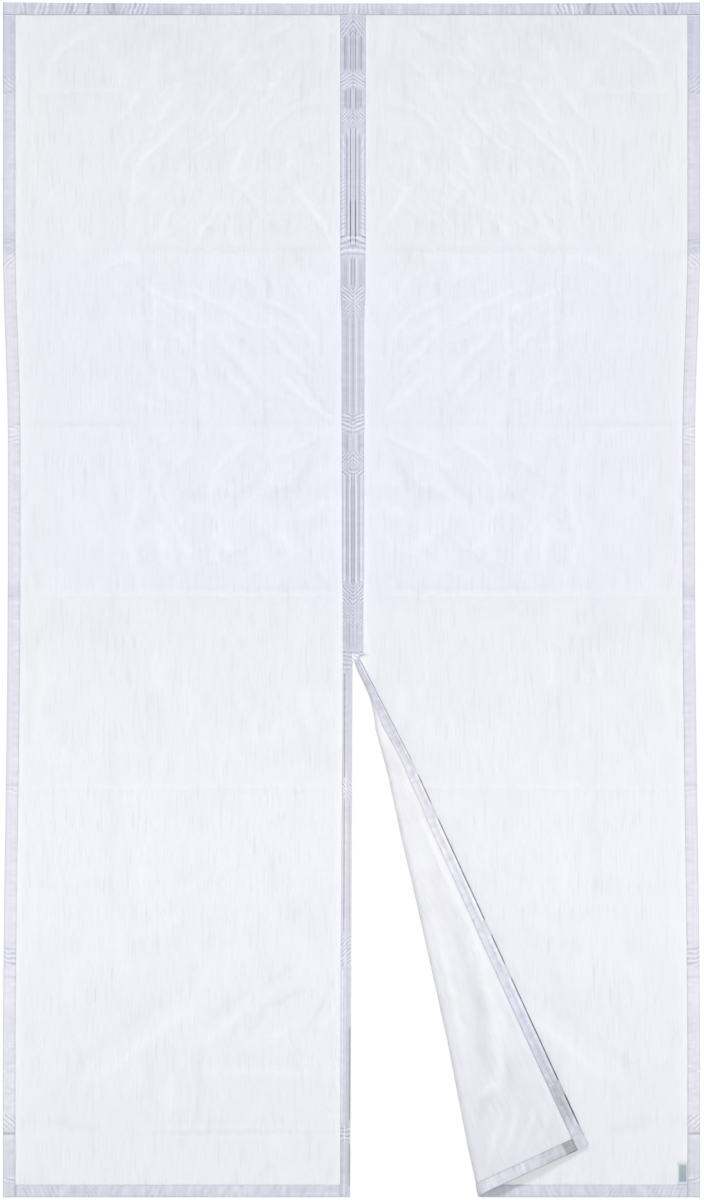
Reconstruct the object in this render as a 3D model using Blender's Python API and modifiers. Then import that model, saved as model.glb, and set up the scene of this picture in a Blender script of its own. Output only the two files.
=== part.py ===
"""Magnetic insect screen for a door, 1.4 m wide and 2.4 m high.

Two panels of fine netting hang side by side from one top binding. Satin tape is
folded round every edge, and the tapes along the middle hold bar magnets in
pockets, which pull the two panels shut. Loop tapes on the back hold the screen
on its door frame. The right panel's lower inner corner is folded over to the
front, so the screen stands open below the middle.

Metres, +Z up, +X right, and the front faces -Y. The origin is the centre of the
top loop tape's back face, which lies on the door frame.
"""

import math

import bmesh
import bpy
from mathutils import Matrix, Vector

# The screen as a whole
WIDTH = 1.400
DROP = 2.400
SEAM_OFFSET = 0.003  # the middle seam lies this far right of the centre
SIDE_PULL = 0.010  # how far each side is drawn in between the top and the bottom
SIDE_PULL_ROWS = (0.48, 0.88, 1.12, 2.16)  # drops where that starts, is full, eases and ends
LEFT_DRIFT = 0.0045  # how far the left panel's free edge has drifted from the seam

# Cloth
NETTING = 0.0004
TAPE = 0.0005  # one leaf of the binding tape
TAPE_WIDTH = 0.025  # of the folded tape
SLOT = 0.0014  # between the tape's two leaves, where the netting is sewn in
CLEARANCE = 0.0003
NETTING_TUCK = 0.0015  # the netting ends this far inside the binding's outer fold

# Magnets in the two middle bindings, from the top down
LONG_MAGNET = 0.220
SHORT_MAGNET = 0.060
MAGNET_ORDER = "short short long short long short long short long short long short long short"
MAGNET_WIDTH = 0.010
MAGNET_THICKNESS = 0.003
MAGNET_CHAMFER = 0.0004
FIRST_MAGNET_DROP = 0.072
LAST_MAGNET_RISE = 0.050  # from the hem to the lowest magnet
POCKET_EDGE = 0.0018  # the magnet's clearance from the tape's fold
POCKET_RAMP = 0.0045  # length over which a pocket closes past its magnet

# How the middle bindings lean and fold, in degrees of tilt for each magnet:
# 0 lies flat in the panel, 90 stands out to the front and 180 is folded right over
CLOSED_TILTS = (0, 0, 0, 12, 24, 35, 35, 35)
LEFT_OPEN_TILTS = (35, 35, 35, 35, 35, 35)
FLAP_TILTS = (240, 220, 205, 195, 188, 185)

# The folded corner of the right panel
FLAP_SHIFT = 0.007  # its free edge starts this far right of the seam
FLAP_ANGLES = (27.2, 24.7)  # of its free edge from upright, above and below the first magnet
FLAP_START_WIDTH = 0.003
FLAP_WIDTH_SHARE = 0.2165  # its growth in width, as a share of the way down its free edge
ROLL_RADIUS = 0.009
FLAP_STANDOFF = 0.0015

# Packing creases, as a low relief of the netting
CREASE_DROPS = (0.181, 0.499, 0.850, 1.192, 1.571, 1.957, 2.272)
CREASE_SHARE = 0.60  # of a panel's width from the seam, where the upright crease lies
CREASE_FRONT = 0.005
CREASE_BACK = 0.0015
FLAT_MARGIN = 0.05  # netting beside a binding or the fold stays flat for this far
FLAT_SHARE = 1.15  # and behind the flap for this share of the flap's reach

# Rows and columns of the cloth's grids
TURN_ROWS = 10  # where the flap turns over, between two magnets
SPAN_ROWS = 4  # along the flap's first magnet
DRAWN_IN_ROWS = 4  # where the sides draw in
EASED_ROWS = 6  # where they ease out again
ROLL_COLUMNS = 5  # round the flap's fold
FOLD_SHARE = 0.5  # of a leaf's height, where a plain tape's fold is rounded
POCKET_FOLD_SHARE = 0.55  # and a pocket's

# Loop tape sewn to the back, and the label
LOOP_WIDTH = 0.020
LOOP_THICKNESS = 0.001
LOOP_END_MARGIN = 0.004
LABEL_WIDTH = 0.019
LABEL_HEIGHT = 0.047
LABEL_THICKNESS = 0.0003

# Sizes worked out from those above
HALF_LEAF = SLOT / 2 + TAPE / 2  # from the netting's middle to the middle of a leaf
BINDING_DEPTH = SLOT + 2 * TAPE
MID_Y = -(LOOP_THICKNESS + CLEARANCE + BINDING_DEPTH / 2)
TOP_Z = TAPE_WIDTH / 2
POCKET_LEAF = MAGNET_THICKNESS / 2 + CLEARANCE + TAPE / 2
POCKET_END = POCKET_EDGE + MAGNET_WIDTH + POCKET_EDGE
MAGNET_MIDDLE = POCKET_EDGE + MAGNET_WIDTH / 2
SEAM_GAP = CLEARANCE / 2
TURN_LENGTH = math.pi * ROLL_RADIUS
HANDLE = ROLL_RADIUS * 4 / 3

MAGNETS = [LONG_MAGNET if word == "long" else SHORT_MAGNET for word in MAGNET_ORDER.split()]
MAGNET_GAP = (DROP - FIRST_MAGNET_DROP - LAST_MAGNET_RISE - sum(MAGNETS)) / (len(MAGNETS) - 1)
MAGNET_SPANS = []
for length in MAGNETS:
    start = MAGNET_SPANS[-1][1] + MAGNET_GAP if MAGNET_SPANS else FIRST_MAGNET_DROP
    MAGNET_SPANS.append((start, start + length))
LAST_CLOSED = len(CLOSED_TILTS) - 1  # the seam opens below this magnet
APEX_DROP = (MAGNET_SPANS[LAST_CLOSED][1] + MAGNET_SPANS[LAST_CLOSED + 1][0]) / 2
LENGTH_OPEN = DROP - APEX_DROP

SIDES = {"left": -1, "right": 1}
TILTS = {"left": CLOSED_TILTS + LEFT_OPEN_TILTS, "right": CLOSED_TILTS + FLAP_TILTS}
PANEL_WIDTH = {"left": WIDTH / 2 + SEAM_OFFSET, "right": WIDTH / 2 - SEAM_OFFSET}


def ease(value):
    """0 below 0, 1 above 1 and smooth between."""
    value = min(max(value, 0.0), 1.0)
    return value * value * (3 - 2 * value)


def mix(a, b, share):
    return a + (b - a) * share


def side_pull(drop):
    start, full, easing, end = SIDE_PULL_ROWS
    return SIDE_PULL * (ease((drop - start) / (full - start)) - ease((drop - easing) / (end - easing)))


# The middle bindings and the fold. Points are kept as (across from the seam, down
# from the top of the opening, out to the front) until world() places them.


def flap_edge(down):
    """The flap's free edge seen from the front, and its angle from upright."""
    upper = MAGNET_SPANS[LAST_CLOSED + 1][1] + MAGNET_GAP / 2 - APEX_DROP
    first, second = (math.radians(a) for a in FLAP_ANGLES)
    a, b = min(down, upper), max(down - upper, 0.0)
    across = FLAP_SHIFT + a * math.sin(first) + b * math.sin(second)
    return across, a * math.cos(first) + b * math.cos(second), first if b == 0 else second


def edge_state(side, drop, tilt):
    """The middle line of a binding's magnets there, its tilt and turn, and the flap's width."""
    down, angle = drop - APEX_DROP, math.radians(tilt)
    if side == "right" and tilt > 180:
        across, reached, turn = flap_edge(down)
        back = angle - math.pi
        out = POCKET_LEAF * math.cos(back) + FLAP_STANDOFF + MAGNET_WIDTH / 2 * math.sin(back)
        away = Vector((-math.cos(turn), math.sin(turn), 0))
        middle = Vector((across, reached, out)) + MAGNET_MIDDLE * (
            away * math.cos(back) + Vector((0, 0, math.sin(back)))
        )
        return middle, angle, turn, FLAP_START_WIDTH + FLAP_WIDTH_SHARE * down
    drift = LEFT_DRIFT * max(down / LENGTH_OPEN, 0.0) if side == "left" else 0.0
    across = SEAM_GAP + (POCKET_LEAF + TAPE / 2) * math.sin(angle) + MAGNET_MIDDLE * math.cos(angle)
    out = 2 * (POCKET_END - MAGNET_MIDDLE) * math.sin(angle)
    return Vector((across + drift, down, out)), angle, 0.0, 0.0


def binding_state(side, drop):
    """edge_state at any drop: even along each magnet, and changing between two of them."""
    tilts = TILTS[side]
    below = 0
    while below < len(MAGNET_SPANS) and MAGNET_SPANS[below][0] - CLEARANCE < drop:
        below += 1
    above = max(below - 1, 0)
    below = min(below, len(MAGNET_SPANS) - 1)
    start = MAGNET_SPANS[above][1] + CLEARANCE
    end = MAGNET_SPANS[below][0] - CLEARANCE
    share = ease((drop - start) / (end - start)) if below > above else 0.0
    if side == "right" and above == LAST_CLOSED:
        first = edge_state(side, min(drop, start), tilts[above])
        if share == 0:
            return first
        second = edge_state(side, end, tilts[below])
        even = (drop - start) / (end - start)
        middle, angle, turn, width = (mix(a, b, share) for a, b in zip(first, second))
        middle.y = mix(first[0].y, second[0].y, even)
        return middle, angle, turn, width
    middle, angle, turn, width = edge_state(side, drop, mix(tilts[above], tilts[below], share))
    if turn and above == LAST_CLOSED + 1:
        turn = mix(flap_edge(0)[2], flap_edge(LENGTH_OPEN)[2], share)
    return middle, angle, turn, width


def panel_out(side, across, drop):
    """How far out the netting's packing creases lift it there."""
    rows = (TAPE_WIDTH,) + CREASE_DROPS + (DROP - TAPE_WIDTH,)
    lift = 0.0
    for k in range(len(rows) - 1):
        if rows[k] <= drop <= rows[k + 1]:
            share = (drop - rows[k]) / (rows[k + 1] - rows[k])
            heights = [0.0] + [CREASE_FRONT if j % 2 else -CREASE_BACK for j in range(len(CREASE_DROPS))] + [0.0]
            lift = mix(heights[k], heights[k + 1], share)
    crease = CREASE_SHARE * PANEL_WIDTH[side]
    flat = TAPE_WIDTH + FLAT_MARGIN
    if side == "right" and drop > APEX_DROP:
        flat = max(flat, flap_edge(drop - APEX_DROP)[0] * FLAT_SHARE + FLAT_MARGIN)
    near = ease((across - flat) / FLAT_MARGIN)
    far = ease((PANEL_WIDTH[side] - TAPE_WIDTH - across) / FLAT_MARGIN)
    fold = 1 - abs(across - crease) / PANEL_WIDTH[side]
    return lift * near * far * fold


def local_point(side, across, drop):
    """A point of a panel's middle surface: across is measured on the cloth from its free edge."""
    middle, angle, turn, width = binding_state(side, drop)
    down = drop - APEX_DROP
    away = Vector((-math.cos(turn), math.sin(turn), 0))
    run = -away * math.cos(angle) - Vector((0, 0, math.sin(angle)))
    if across <= POCKET_END:
        return middle + run * (across - MAGNET_MIDDLE)
    pocket = middle + run * (POCKET_END - MAGNET_MIDDLE)
    folded = ease((math.degrees(angle) - 90) / 90)
    top = max(width - ROLL_RADIUS, POCKET_END)
    if top > POCKET_END:
        edge = middle - run * MAGNET_MIDDLE
        nose = Vector((edge.x, edge.y, 0)) + away * top
        nose.z = 2 * ROLL_RADIUS
        share = (across - POCKET_END) / (top - POCKET_END)
        if share < 1:
            point = mix(pocket, nose, share)
            point.z = mix(pocket.z, nose.z, 1 - (1 - share) ** 2)
            return point
        leaving = mix(run, away, min((top - POCKET_END) / ROLL_RADIUS, 1.0)).normalized()
    else:
        nose, leaving = pocket, run
    foot = Vector((top + TURN_LENGTH, down, 0))
    share = (across - top) / TURN_LENGTH
    if share < 1:
        reach = mix(HANDLE, HANDLE / 2, folded * (1 - min((top - POCKET_END) / ROLL_RADIUS, 1.0)))
        first = nose + leaving * reach
        second = foot - Vector((HANDLE + folded * max(foot.x - nose.x, 0.0), 0, 0))
        rest = 1 - share
        return nose * rest**3 + first * 3 * rest**2 * share + second * 3 * rest * share**2 + foot * share**3
    return Vector((across, down, panel_out(side, across, drop)))


def world(side, point, drop):
    sign, full = SIDES[side], PANEL_WIDTH[side]
    calm = POCKET_END + LENGTH_OPEN * FLAP_WIDTH_SHARE + TURN_LENGTH
    pulled = point.x - side_pull(drop) * max((point.x - calm) / (full - calm), 0.0)
    return Vector((SEAM_OFFSET + sign * pulled, MID_Y - point.z, TOP_Z - APEX_DROP - point.y))


def surface(side, across, drop):
    return world(side, local_point(side, across, drop), drop)


def off_surface(side, across, drop, out):
    """A point this far in front of the cloth, square to it."""
    step = CLEARANCE / 2
    along = surface(side, across + step, drop) - surface(side, across - step, drop)
    down = surface(side, across, drop + step) - surface(side, across, drop - step)
    normal = along.cross(down).normalized() * SIDES[side]
    return surface(side, across, drop) + normal * -out


def gap_rows(side):
    """Drops where the cloth beside a middle binding changes its run."""
    rows = []
    tilts = TILTS[side]
    for k in range(len(MAGNET_SPANS) - 1):
        start, end = MAGNET_SPANS[k][1] + CLEARANCE, MAGNET_SPANS[k + 1][0] - CLEARANCE
        if tilts[k] == tilts[k + 1] and k != LAST_CLOSED:
            continue
        steps = TURN_ROWS if k == LAST_CLOSED and side == "right" else 2
        rows += [mix(start, end, j / steps) for j in range(steps + 1)]
        rows += [MAGNET_SPANS[k][1] + POCKET_RAMP, MAGNET_SPANS[k + 1][0] - POCKET_RAMP]
    return rows


# Building


def new_material(name, colour, roughness, alpha=1.0):
    material = bpy.data.materials.new(name)
    material.use_nodes = True
    shader = material.node_tree.nodes["Principled BSDF"]
    shader.inputs["Base Color"].default_value = (*colour, 1)
    shader.inputs["Roughness"].default_value = roughness
    shader.inputs["Alpha"].default_value = alpha
    return material


def add_object(name, bm, material, smooth=False):
    mesh = bpy.data.meshes.new(name)
    bm.to_mesh(mesh)
    bm.free()
    mesh.materials.append(material)
    if smooth:
        mesh.shade_smooth()
    thing = bpy.data.objects.new(name, mesh)
    collection.objects.link(thing)
    return thing


def cloth(name, columns, rows, point, thickness, material, flip=False):
    """A grid laid on point(column, row) and thickened into one closed sheet."""
    bm = bmesh.new()
    half = 1 / 2
    bmesh.ops.create_grid(bm, x_segments=columns - 1, y_segments=rows - 1, size=half)
    for vertex in bm.verts:
        i = round((vertex.co.x + half) * (columns - 1))
        j = round((vertex.co.y + half) * (rows - 1))
        vertex.co = point(i, j)
    bmesh.ops.triangulate(bm, faces=bm.faces[:], quad_method="FIXED")
    if flip:
        bmesh.ops.reverse_faces(bm, faces=bm.faces[:])
    sheet = add_object(name, bm, material, smooth=True)
    solid = sheet.modifiers.new("thickness", "SOLIDIFY")
    solid.thickness = thickness
    solid.offset = 0
    return sheet


def box(name, size, centre, material, chamfer=0.0):
    bm = bmesh.new()
    bmesh.ops.create_cube(bm, size=1)
    bmesh.ops.scale(bm, vec=size, verts=bm.verts)
    block = add_object(name, bm, material)
    block.location = centre
    if chamfer:
        edges = block.modifiers.new("chamfer", "BEVEL")
        edges.width = chamfer
        edges.segments = 1
    return block


def tape_profile(width, leaf):
    """A plain folded tape's section, as (in from its fold, out from the netting)."""
    front = [(width, leaf), (TAPE * 2, leaf), (TAPE / 2, leaf * FOLD_SHARE)]
    return front + [(into, -out) for into, out in reversed(front)]


def pocket_profile(swell):
    """A middle binding's section, where swell is 1 round a magnet and 0 where it's sewn flat."""
    leaf = mix(HALF_LEAF, POCKET_LEAF, swell)
    half_way = (TAPE_WIDTH + POCKET_END) / 2
    front = [
        (TAPE_WIDTH, HALF_LEAF),
        (half_way, HALF_LEAF),
        (POCKET_END, HALF_LEAF),
        (POCKET_END - POCKET_EDGE + CLEARANCE, leaf),
        (POCKET_EDGE, leaf),
        (TAPE / 2, leaf * POCKET_FOLD_SHARE),
    ]
    return front + [(into, -out) for into, out in reversed(front)]


def swell_at(drop):
    for start, end in MAGNET_SPANS:
        if start - POCKET_RAMP < drop < end + POCKET_RAMP:
            outside = max(start - CLEARANCE - drop, drop - end - CLEARANCE, 0)
            return 1 - min(outside / (POCKET_RAMP - CLEARANCE), 1)
    return 0.0


def pocket_rows(spans):
    rows = []
    for start, end in spans:
        rows += [start - POCKET_RAMP, start - CLEARANCE, end + CLEARANCE, end + POCKET_RAMP]
    return rows


def in_order(rows):
    return sorted(set(round(row, 6) for row in rows))


def build_middle_binding(side, material):
    rows = in_order([TAPE_WIDTH + CLEARANCE, DROP] + gap_rows(side) + pocket_rows(MAGNET_SPANS) + shared_rows(side))
    profiles = [pocket_profile(swell_at(row)) for row in rows]

    def point(i, j):
        into, out = profiles[j][i]
        return off_surface(side, into, rows[j], out)

    cloth(f"{side}_centre_binding", len(profiles[0]), len(rows), point, TAPE, material, side == "left")


def build_magnets(side, material):
    numbers = {"long": 0, "short": 0}
    for word, (start, end) in zip(MAGNET_ORDER.split(), MAGNET_SPANS):
        numbers[word] += 1
        name = f"{side}_{word}_magnet_{numbers[word]}"
        middle = (start + end) / 2
        size = (MAGNET_WIDTH, MAGNET_THICKNESS, end - start)
        bar = box(name, size, surface(side, MAGNET_MIDDLE, middle), material, MAGNET_CHAMFER)
        inner = surface(side, POCKET_END, middle) - surface(side, 0, middle)
        upward = surface(side, MAGNET_MIDDLE, start) - surface(side, MAGNET_MIDDLE, end)
        across, up = inner.normalized(), upward.normalized()
        facing = up.cross(across).normalized()
        bar.rotation_euler = Matrix((across, facing, up)).transposed().to_euler()


def panel_columns(side, drop):
    """Distances across a panel's cloth at this drop: binding, fold, then the open netting."""
    full = PANEL_WIDTH[side]
    width = binding_state(side, drop)[3]
    half_way = (TAPE_WIDTH + POCKET_END) / 2
    top = max(width - ROLL_RADIUS, POCKET_END)
    start, foot = TAPE_WIDTH, top + TURN_LENGTH
    columns = [POCKET_END, half_way, TAPE_WIDTH]
    if side == "right":
        start = max(top, TAPE_WIDTH + ROLL_RADIUS / 2)
        columns += [mix(TAPE_WIDTH, start, 1 / 2), start]
    columns += [mix(start, foot, k / ROLL_COLUMNS) for k in range(1, ROLL_COLUMNS + 1)]
    columns += [mix(foot, CREASE_SHARE * full, 1 / 2), max(CREASE_SHARE * full, foot + FLAT_MARGIN)]
    columns += [mix(columns[-1], full - TAPE_WIDTH, 1 / 2), full - TAPE_WIDTH, full - NETTING_TUCK]
    return columns


def shared_rows(side):
    """Rows that the flap's netting and its binding both have, because the fold curves between them."""
    if side == "left":
        return []
    flap = MAGNET_SPANS[LAST_CLOSED + 1 :]
    middles = [mix(*flap[0], k / SPAN_ROWS) for k in range(1, SPAN_ROWS)]
    return pocket_rows(flap) + middles + [row for row in CREASE_DROPS if row > APEX_DROP]


def build_panel(side, material):
    rows = [NETTING_TUCK, TAPE_WIDTH, DROP - TAPE_WIDTH, DROP - NETTING_TUCK]
    rows = in_order(rows + list(CREASE_DROPS) + gap_rows(side) + shared_rows(side))
    columns = [panel_columns(side, row) for row in rows]

    def point(i, j):
        return surface(side, columns[j][i], rows[j])

    cloth(f"{side}_mesh_panel", len(columns[0]), len(rows), point, NETTING, material, side == "left")


def build_top_binding(material):
    profile = tape_profile(TAPE_WIDTH, HALF_LEAF)

    def point(i, j):
        into, out = profile[i]
        return Vector((mix(-WIDTH / 2, WIDTH / 2, j), MID_Y - out, TOP_Z - into))

    cloth("top_binding", len(profile), 2, point, TAPE, material)


def side_rows(first, last):
    rows = [first, last] + [row for row in SIDE_PULL_ROWS if first < row < last]
    start, full, easing, end = SIDE_PULL_ROWS
    rows += [mix(start, full, k / DRAWN_IN_ROWS) for k in range(1, DRAWN_IN_ROWS)]
    rows += [mix(easing, end, k / EASED_ROWS) for k in range(1, EASED_ROWS)]
    return sorted(rows)


def build_side_binding(side, material):
    profile = tape_profile(TAPE_WIDTH, HALF_LEAF)
    rows = side_rows(TAPE_WIDTH + CLEARANCE, DROP)
    sign = SIDES[side]

    def point(i, j):
        into, out = profile[i]
        edge = WIDTH / 2 - side_pull(rows[j]) - into
        return Vector((sign * edge, MID_Y - out, TOP_Z - rows[j]))

    cloth(f"{side}_side_binding", len(profile), len(rows), point, TAPE, material, side == "left")


def build_bottom_binding(side, material):
    profile = tape_profile(TAPE_WIDTH, HALF_LEAF)
    first, last = TAPE_WIDTH + CLEARANCE, PANEL_WIDTH[side] - TAPE_WIDTH - CLEARANCE
    columns = []
    for into, _ in profile:
        between = [c for c in panel_columns(side, DROP - into) if first < c < last]
        columns.append([first] + between + [last])

    def point(i, j):
        into, out = profile[i]
        return off_surface(side, columns[i][j], DROP - into, out)

    cloth(f"{side}_bottom_binding", len(profile), len(columns[0]), point, TAPE, material, side == "right")


def build_loop_tapes(material):
    middle = -LOOP_THICKNESS / 2
    size = (WIDTH - 2 * LOOP_END_MARGIN, LOOP_THICKNESS, LOOP_WIDTH)
    box("top_loop_tape", size, (0, middle, 0), material)
    first = TAPE_WIDTH / 2 + LOOP_WIDTH / 2 + CLEARANCE
    rows = side_rows(first, DROP - LOOP_END_MARGIN)
    for side, sign in SIDES.items():

        def point(i, j):
            edge = WIDTH / 2 - side_pull(rows[j]) - (TAPE_WIDTH - LOOP_WIDTH) / 2 - LOOP_WIDTH * i
            return Vector((sign * edge, middle, TOP_Z - rows[j]))

        cloth(f"{side}_loop_tape", 2, len(rows), point, LOOP_THICKNESS, material, side == "left")


def build_label(material):
    out = NETTING / 2 + CLEARANCE + LABEL_THICKNESS / 2
    across = WIDTH / 2 - TAPE_WIDTH - CLEARANCE - LABEL_WIDTH / 2
    up = TOP_Z - DROP + TAPE_WIDTH + CLEARANCE + LABEL_HEIGHT / 2
    box("corner_label", (LABEL_WIDTH, LABEL_THICKNESS, LABEL_HEIGHT), (across, MID_Y - out, up), material)


for thing in list(bpy.data.objects):
    bpy.data.objects.remove(thing)
collection = bpy.data.collections.new("magnetic_insect_screen")
bpy.context.scene.collection.children.link(collection)

netting = new_material("netting", (0.86, 0.87, 0.92), 0.7, 0.6)
satin = new_material("satin binding", (0.68, 0.66, 0.76), 0.45)
magnet = new_material("magnet", (0.12, 0.12, 0.13), 0.6)
loop = new_material("loop tape", (0.78, 0.78, 0.82), 0.9)
label = new_material("label", (0.55, 0.78, 0.76), 0.6)

build_top_binding(satin)
for panel_side in SIDES:
    build_panel(panel_side, netting)
    build_side_binding(panel_side, satin)
    build_bottom_binding(panel_side, satin)
    build_middle_binding(panel_side, satin)
    build_magnets(panel_side, magnet)
build_loop_tapes(loop)
build_label(label)
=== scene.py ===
import functools
import math

import bpy
import numpy as np
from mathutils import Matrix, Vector, noise


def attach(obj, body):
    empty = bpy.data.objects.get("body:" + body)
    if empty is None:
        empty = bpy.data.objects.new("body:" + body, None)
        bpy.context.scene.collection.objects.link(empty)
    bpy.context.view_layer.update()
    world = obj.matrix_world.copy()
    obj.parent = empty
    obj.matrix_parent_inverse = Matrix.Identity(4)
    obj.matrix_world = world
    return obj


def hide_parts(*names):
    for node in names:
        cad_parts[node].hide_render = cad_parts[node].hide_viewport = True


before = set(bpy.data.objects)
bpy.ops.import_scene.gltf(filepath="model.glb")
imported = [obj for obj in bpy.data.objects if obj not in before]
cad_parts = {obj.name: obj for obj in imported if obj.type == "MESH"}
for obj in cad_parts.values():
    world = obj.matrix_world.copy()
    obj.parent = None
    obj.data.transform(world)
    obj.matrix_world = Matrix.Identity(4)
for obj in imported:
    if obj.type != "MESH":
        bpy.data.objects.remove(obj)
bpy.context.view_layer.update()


# The two netting panels: fine white polyester netting, 2.4 m long, hung side by side
# from the top tape. The right one's lower inner corner is folded over to the front.
# Both keep the creases and puckers that they were packed with.

WIDTH = 1.400
DROP = 2.400
SEAM_OFFSET = 0.003
SIDE_PULL = 0.010
SIDE_PULL_ROWS = (0.48, 0.88, 1.12, 2.16)
LEFT_DRIFT = 0.0045
TAPE = 0.0005
TAPE_WIDTH = 0.025
SLOT = 0.0014
CLEARANCE = 0.0003
NETTING_TUCK = 0.0015
LONG_MAGNET = 0.220
SHORT_MAGNET = 0.060
MAGNET_ORDER = "short short long short long short long short long short long short long short"
MAGNET_WIDTH = 0.010
MAGNET_THICKNESS = 0.003
FIRST_MAGNET_DROP = 0.072
LAST_MAGNET_RISE = 0.050
POCKET_EDGE = 0.0018
POCKET_RAMP = 0.0045
CLOSED_TILTS = (0, 0, 0, 12, 24, 35, 35, 35)
LEFT_OPEN_TILTS = (35, 35, 35, 35, 35, 35)
FLAP_TILTS = (240, 220, 205, 195, 188, 185)
FLAP_SHIFT = 0.007
FLAP_ANGLES = (27.2, 24.7)
FLAP_START_WIDTH = 0.003
FLAP_SPREAD = 0.2165
ROLL_RADIUS = 0.009
FLAP_STANDOFF = 0.0015
TWIST_START = 0.0030
TWIST_LENGTH = 0.0045
CREASE_DROPS = (0.181, 0.499, 0.850, 1.192, 1.571, 1.957, 2.272)
CREASE_SHARE = 0.60
CREASE_FRONT = 0.005
CREASE_BACK = 0.0015
FLAT_MARGIN = 0.05
LOOP_THICKNESS = 0.001

HALF_LEAF = SLOT / 2 + TAPE / 2
MID_Y = -(LOOP_THICKNESS + CLEARANCE + (SLOT + 2 * TAPE) / 2)
TOP_Z = TAPE_WIDTH / 2
POCKET_LEAF = MAGNET_THICKNESS / 2 + CLEARANCE + TAPE / 2
POCKET_END = POCKET_EDGE + MAGNET_WIDTH + POCKET_EDGE
MAGNET_MIDDLE = POCKET_EDGE + MAGNET_WIDTH / 2
SEAM_GAP = CLEARANCE / 2
TURN_LENGTH = math.pi * ROLL_RADIUS
HANDLE = ROLL_RADIUS * 4 / 3

MAGNETS = [LONG_MAGNET if word == "long" else SHORT_MAGNET for word in MAGNET_ORDER.split()]
MAGNET_GAP = (DROP - FIRST_MAGNET_DROP - LAST_MAGNET_RISE - sum(MAGNETS)) / (len(MAGNETS) - 1)
MAGNET_SPANS = []
for length in MAGNETS:
    start = MAGNET_SPANS[-1][1] + MAGNET_GAP if MAGNET_SPANS else FIRST_MAGNET_DROP
    MAGNET_SPANS.append((start, start + length))
# How far right of its even place the folded corner's roll lies, by the way down the opening
ROLL_SHIFT = [
    (0.14, 0), (0.25, 0.0028), (0.37, 0.0020), (0.46, 0.0037), (0.62, 0.0048), (0.78, 0.0052),
    (0.84, 0.0036), (0.90, 0.0024), (0.98, 0),
]
ROLL_SETTLES = 0.15
LAST_CLOSED = len(CLOSED_TILTS) - 1
APEX_DROP = (MAGNET_SPANS[LAST_CLOSED][1] + MAGNET_SPANS[LAST_CLOSED + 1][0]) / 2
LENGTH_OPEN = DROP - APEX_DROP

SIDES = {"left": -1, "right": 1}
TILTS = {"left": CLOSED_TILTS + LEFT_OPEN_TILTS, "right": CLOSED_TILTS + FLAP_TILTS}
PANEL_WIDTH = {"left": WIDTH / 2 + SEAM_OFFSET, "right": WIDTH / 2 - SEAM_OFFSET}


def ease(value):
    """0 below 0, 1 above 1 and smooth between."""
    value = min(max(value, 0.0), 1.0)
    return value * value * (3 - 2 * value)


def mix(a, b, share):
    return a + (b - a) * share


def between(points, at):
    """The height at this place of a line through (place, height) points."""
    return float(np.interp(at, [p[0] for p in points], [p[1] for p in points]))


def bell(value, breadth):
    """1 at 0 and down to almost nothing at twice the breadth, on either side."""
    return math.exp(-((value / breadth) ** 2))


def waver(a, b, c):
    """Smooth noise at this place, between -1 and 1."""
    return noise.noise(Vector((a, b, c)))


def side_pull(drop):
    start, full, easing, end = SIDE_PULL_ROWS
    return SIDE_PULL * (ease((drop - start) / (full - start)) - ease((drop - easing) / (end - easing)))


def flap_edge(down):
    """The folded corner's free edge seen from the front, and its angle from upright."""
    upper = MAGNET_SPANS[LAST_CLOSED + 1][1] + MAGNET_GAP / 2 - APEX_DROP
    first, second = (math.radians(a) for a in FLAP_ANGLES)
    a, b = min(down, upper), max(down - upper, 0.0)
    across = FLAP_SHIFT + a * math.sin(first) + b * math.sin(second)
    return across, a * math.cos(first) + b * math.cos(second), first if b == 0 else second


def edge_state(side, drop, tilt):
    """The middle line of a tape's magnets there, its tilt and turn, and the folded corner's width."""
    down, angle = drop - APEX_DROP, math.radians(tilt)
    if side == "right" and tilt > 180:
        across, reached, turn = flap_edge(down)
        back = angle - math.pi
        out = POCKET_LEAF * math.cos(back) + FLAP_STANDOFF + 0.5 * MAGNET_WIDTH * math.sin(back)
        away = Vector((-math.cos(turn), math.sin(turn), 0))
        middle = Vector((across, reached, out)) + MAGNET_MIDDLE * (
            away * math.cos(back) + Vector((0, 0, math.sin(back)))
        )
        return middle, angle, turn, FLAP_START_WIDTH + FLAP_SPREAD * down
    drift = LEFT_DRIFT * max(down / LENGTH_OPEN, 0.0) if side == "left" else 0.0
    across = SEAM_GAP + (POCKET_LEAF + TAPE / 2) * math.sin(angle) + MAGNET_MIDDLE * math.cos(angle)
    out = 2 * (POCKET_END - MAGNET_MIDDLE) * math.sin(angle)
    return Vector((across + drift, down, out)), angle, 0.0, 0.0


@functools.lru_cache(maxsize=64)
def tape_state(side, drop):
    """edge_state at any drop: even along each magnet, and changing between two of them."""
    tilts = TILTS[side]
    below = 0
    while below < len(MAGNET_SPANS) and MAGNET_SPANS[below][0] - CLEARANCE < drop:
        below += 1
    above = max(below - 1, 0)
    below = min(below, len(MAGNET_SPANS) - 1)
    start = MAGNET_SPANS[above][1] + CLEARANCE
    end = MAGNET_SPANS[below][0] - CLEARANCE
    share = ease((drop - start) / (end - start)) if below > above else 0.0
    if side == "right" and above == LAST_CLOSED:
        share = ease((drop - APEX_DROP - TWIST_START) / TWIST_LENGTH)
        first = edge_state(side, drop, tilts[above])
        if share == 0:
            return first
        second = edge_state(side, max(drop, APEX_DROP + TWIST_START), tilts[below])
        return tuple(mix(a, b, share) for a, b in zip(first, second))
    middle, angle, turn, width = edge_state(side, drop, mix(tilts[above], tilts[below], share))
    if turn and above == LAST_CLOSED + 1:
        turn = mix(flap_edge(0)[2], flap_edge(LENGTH_OPEN)[2], share)
    return middle, angle, turn, width


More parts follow.
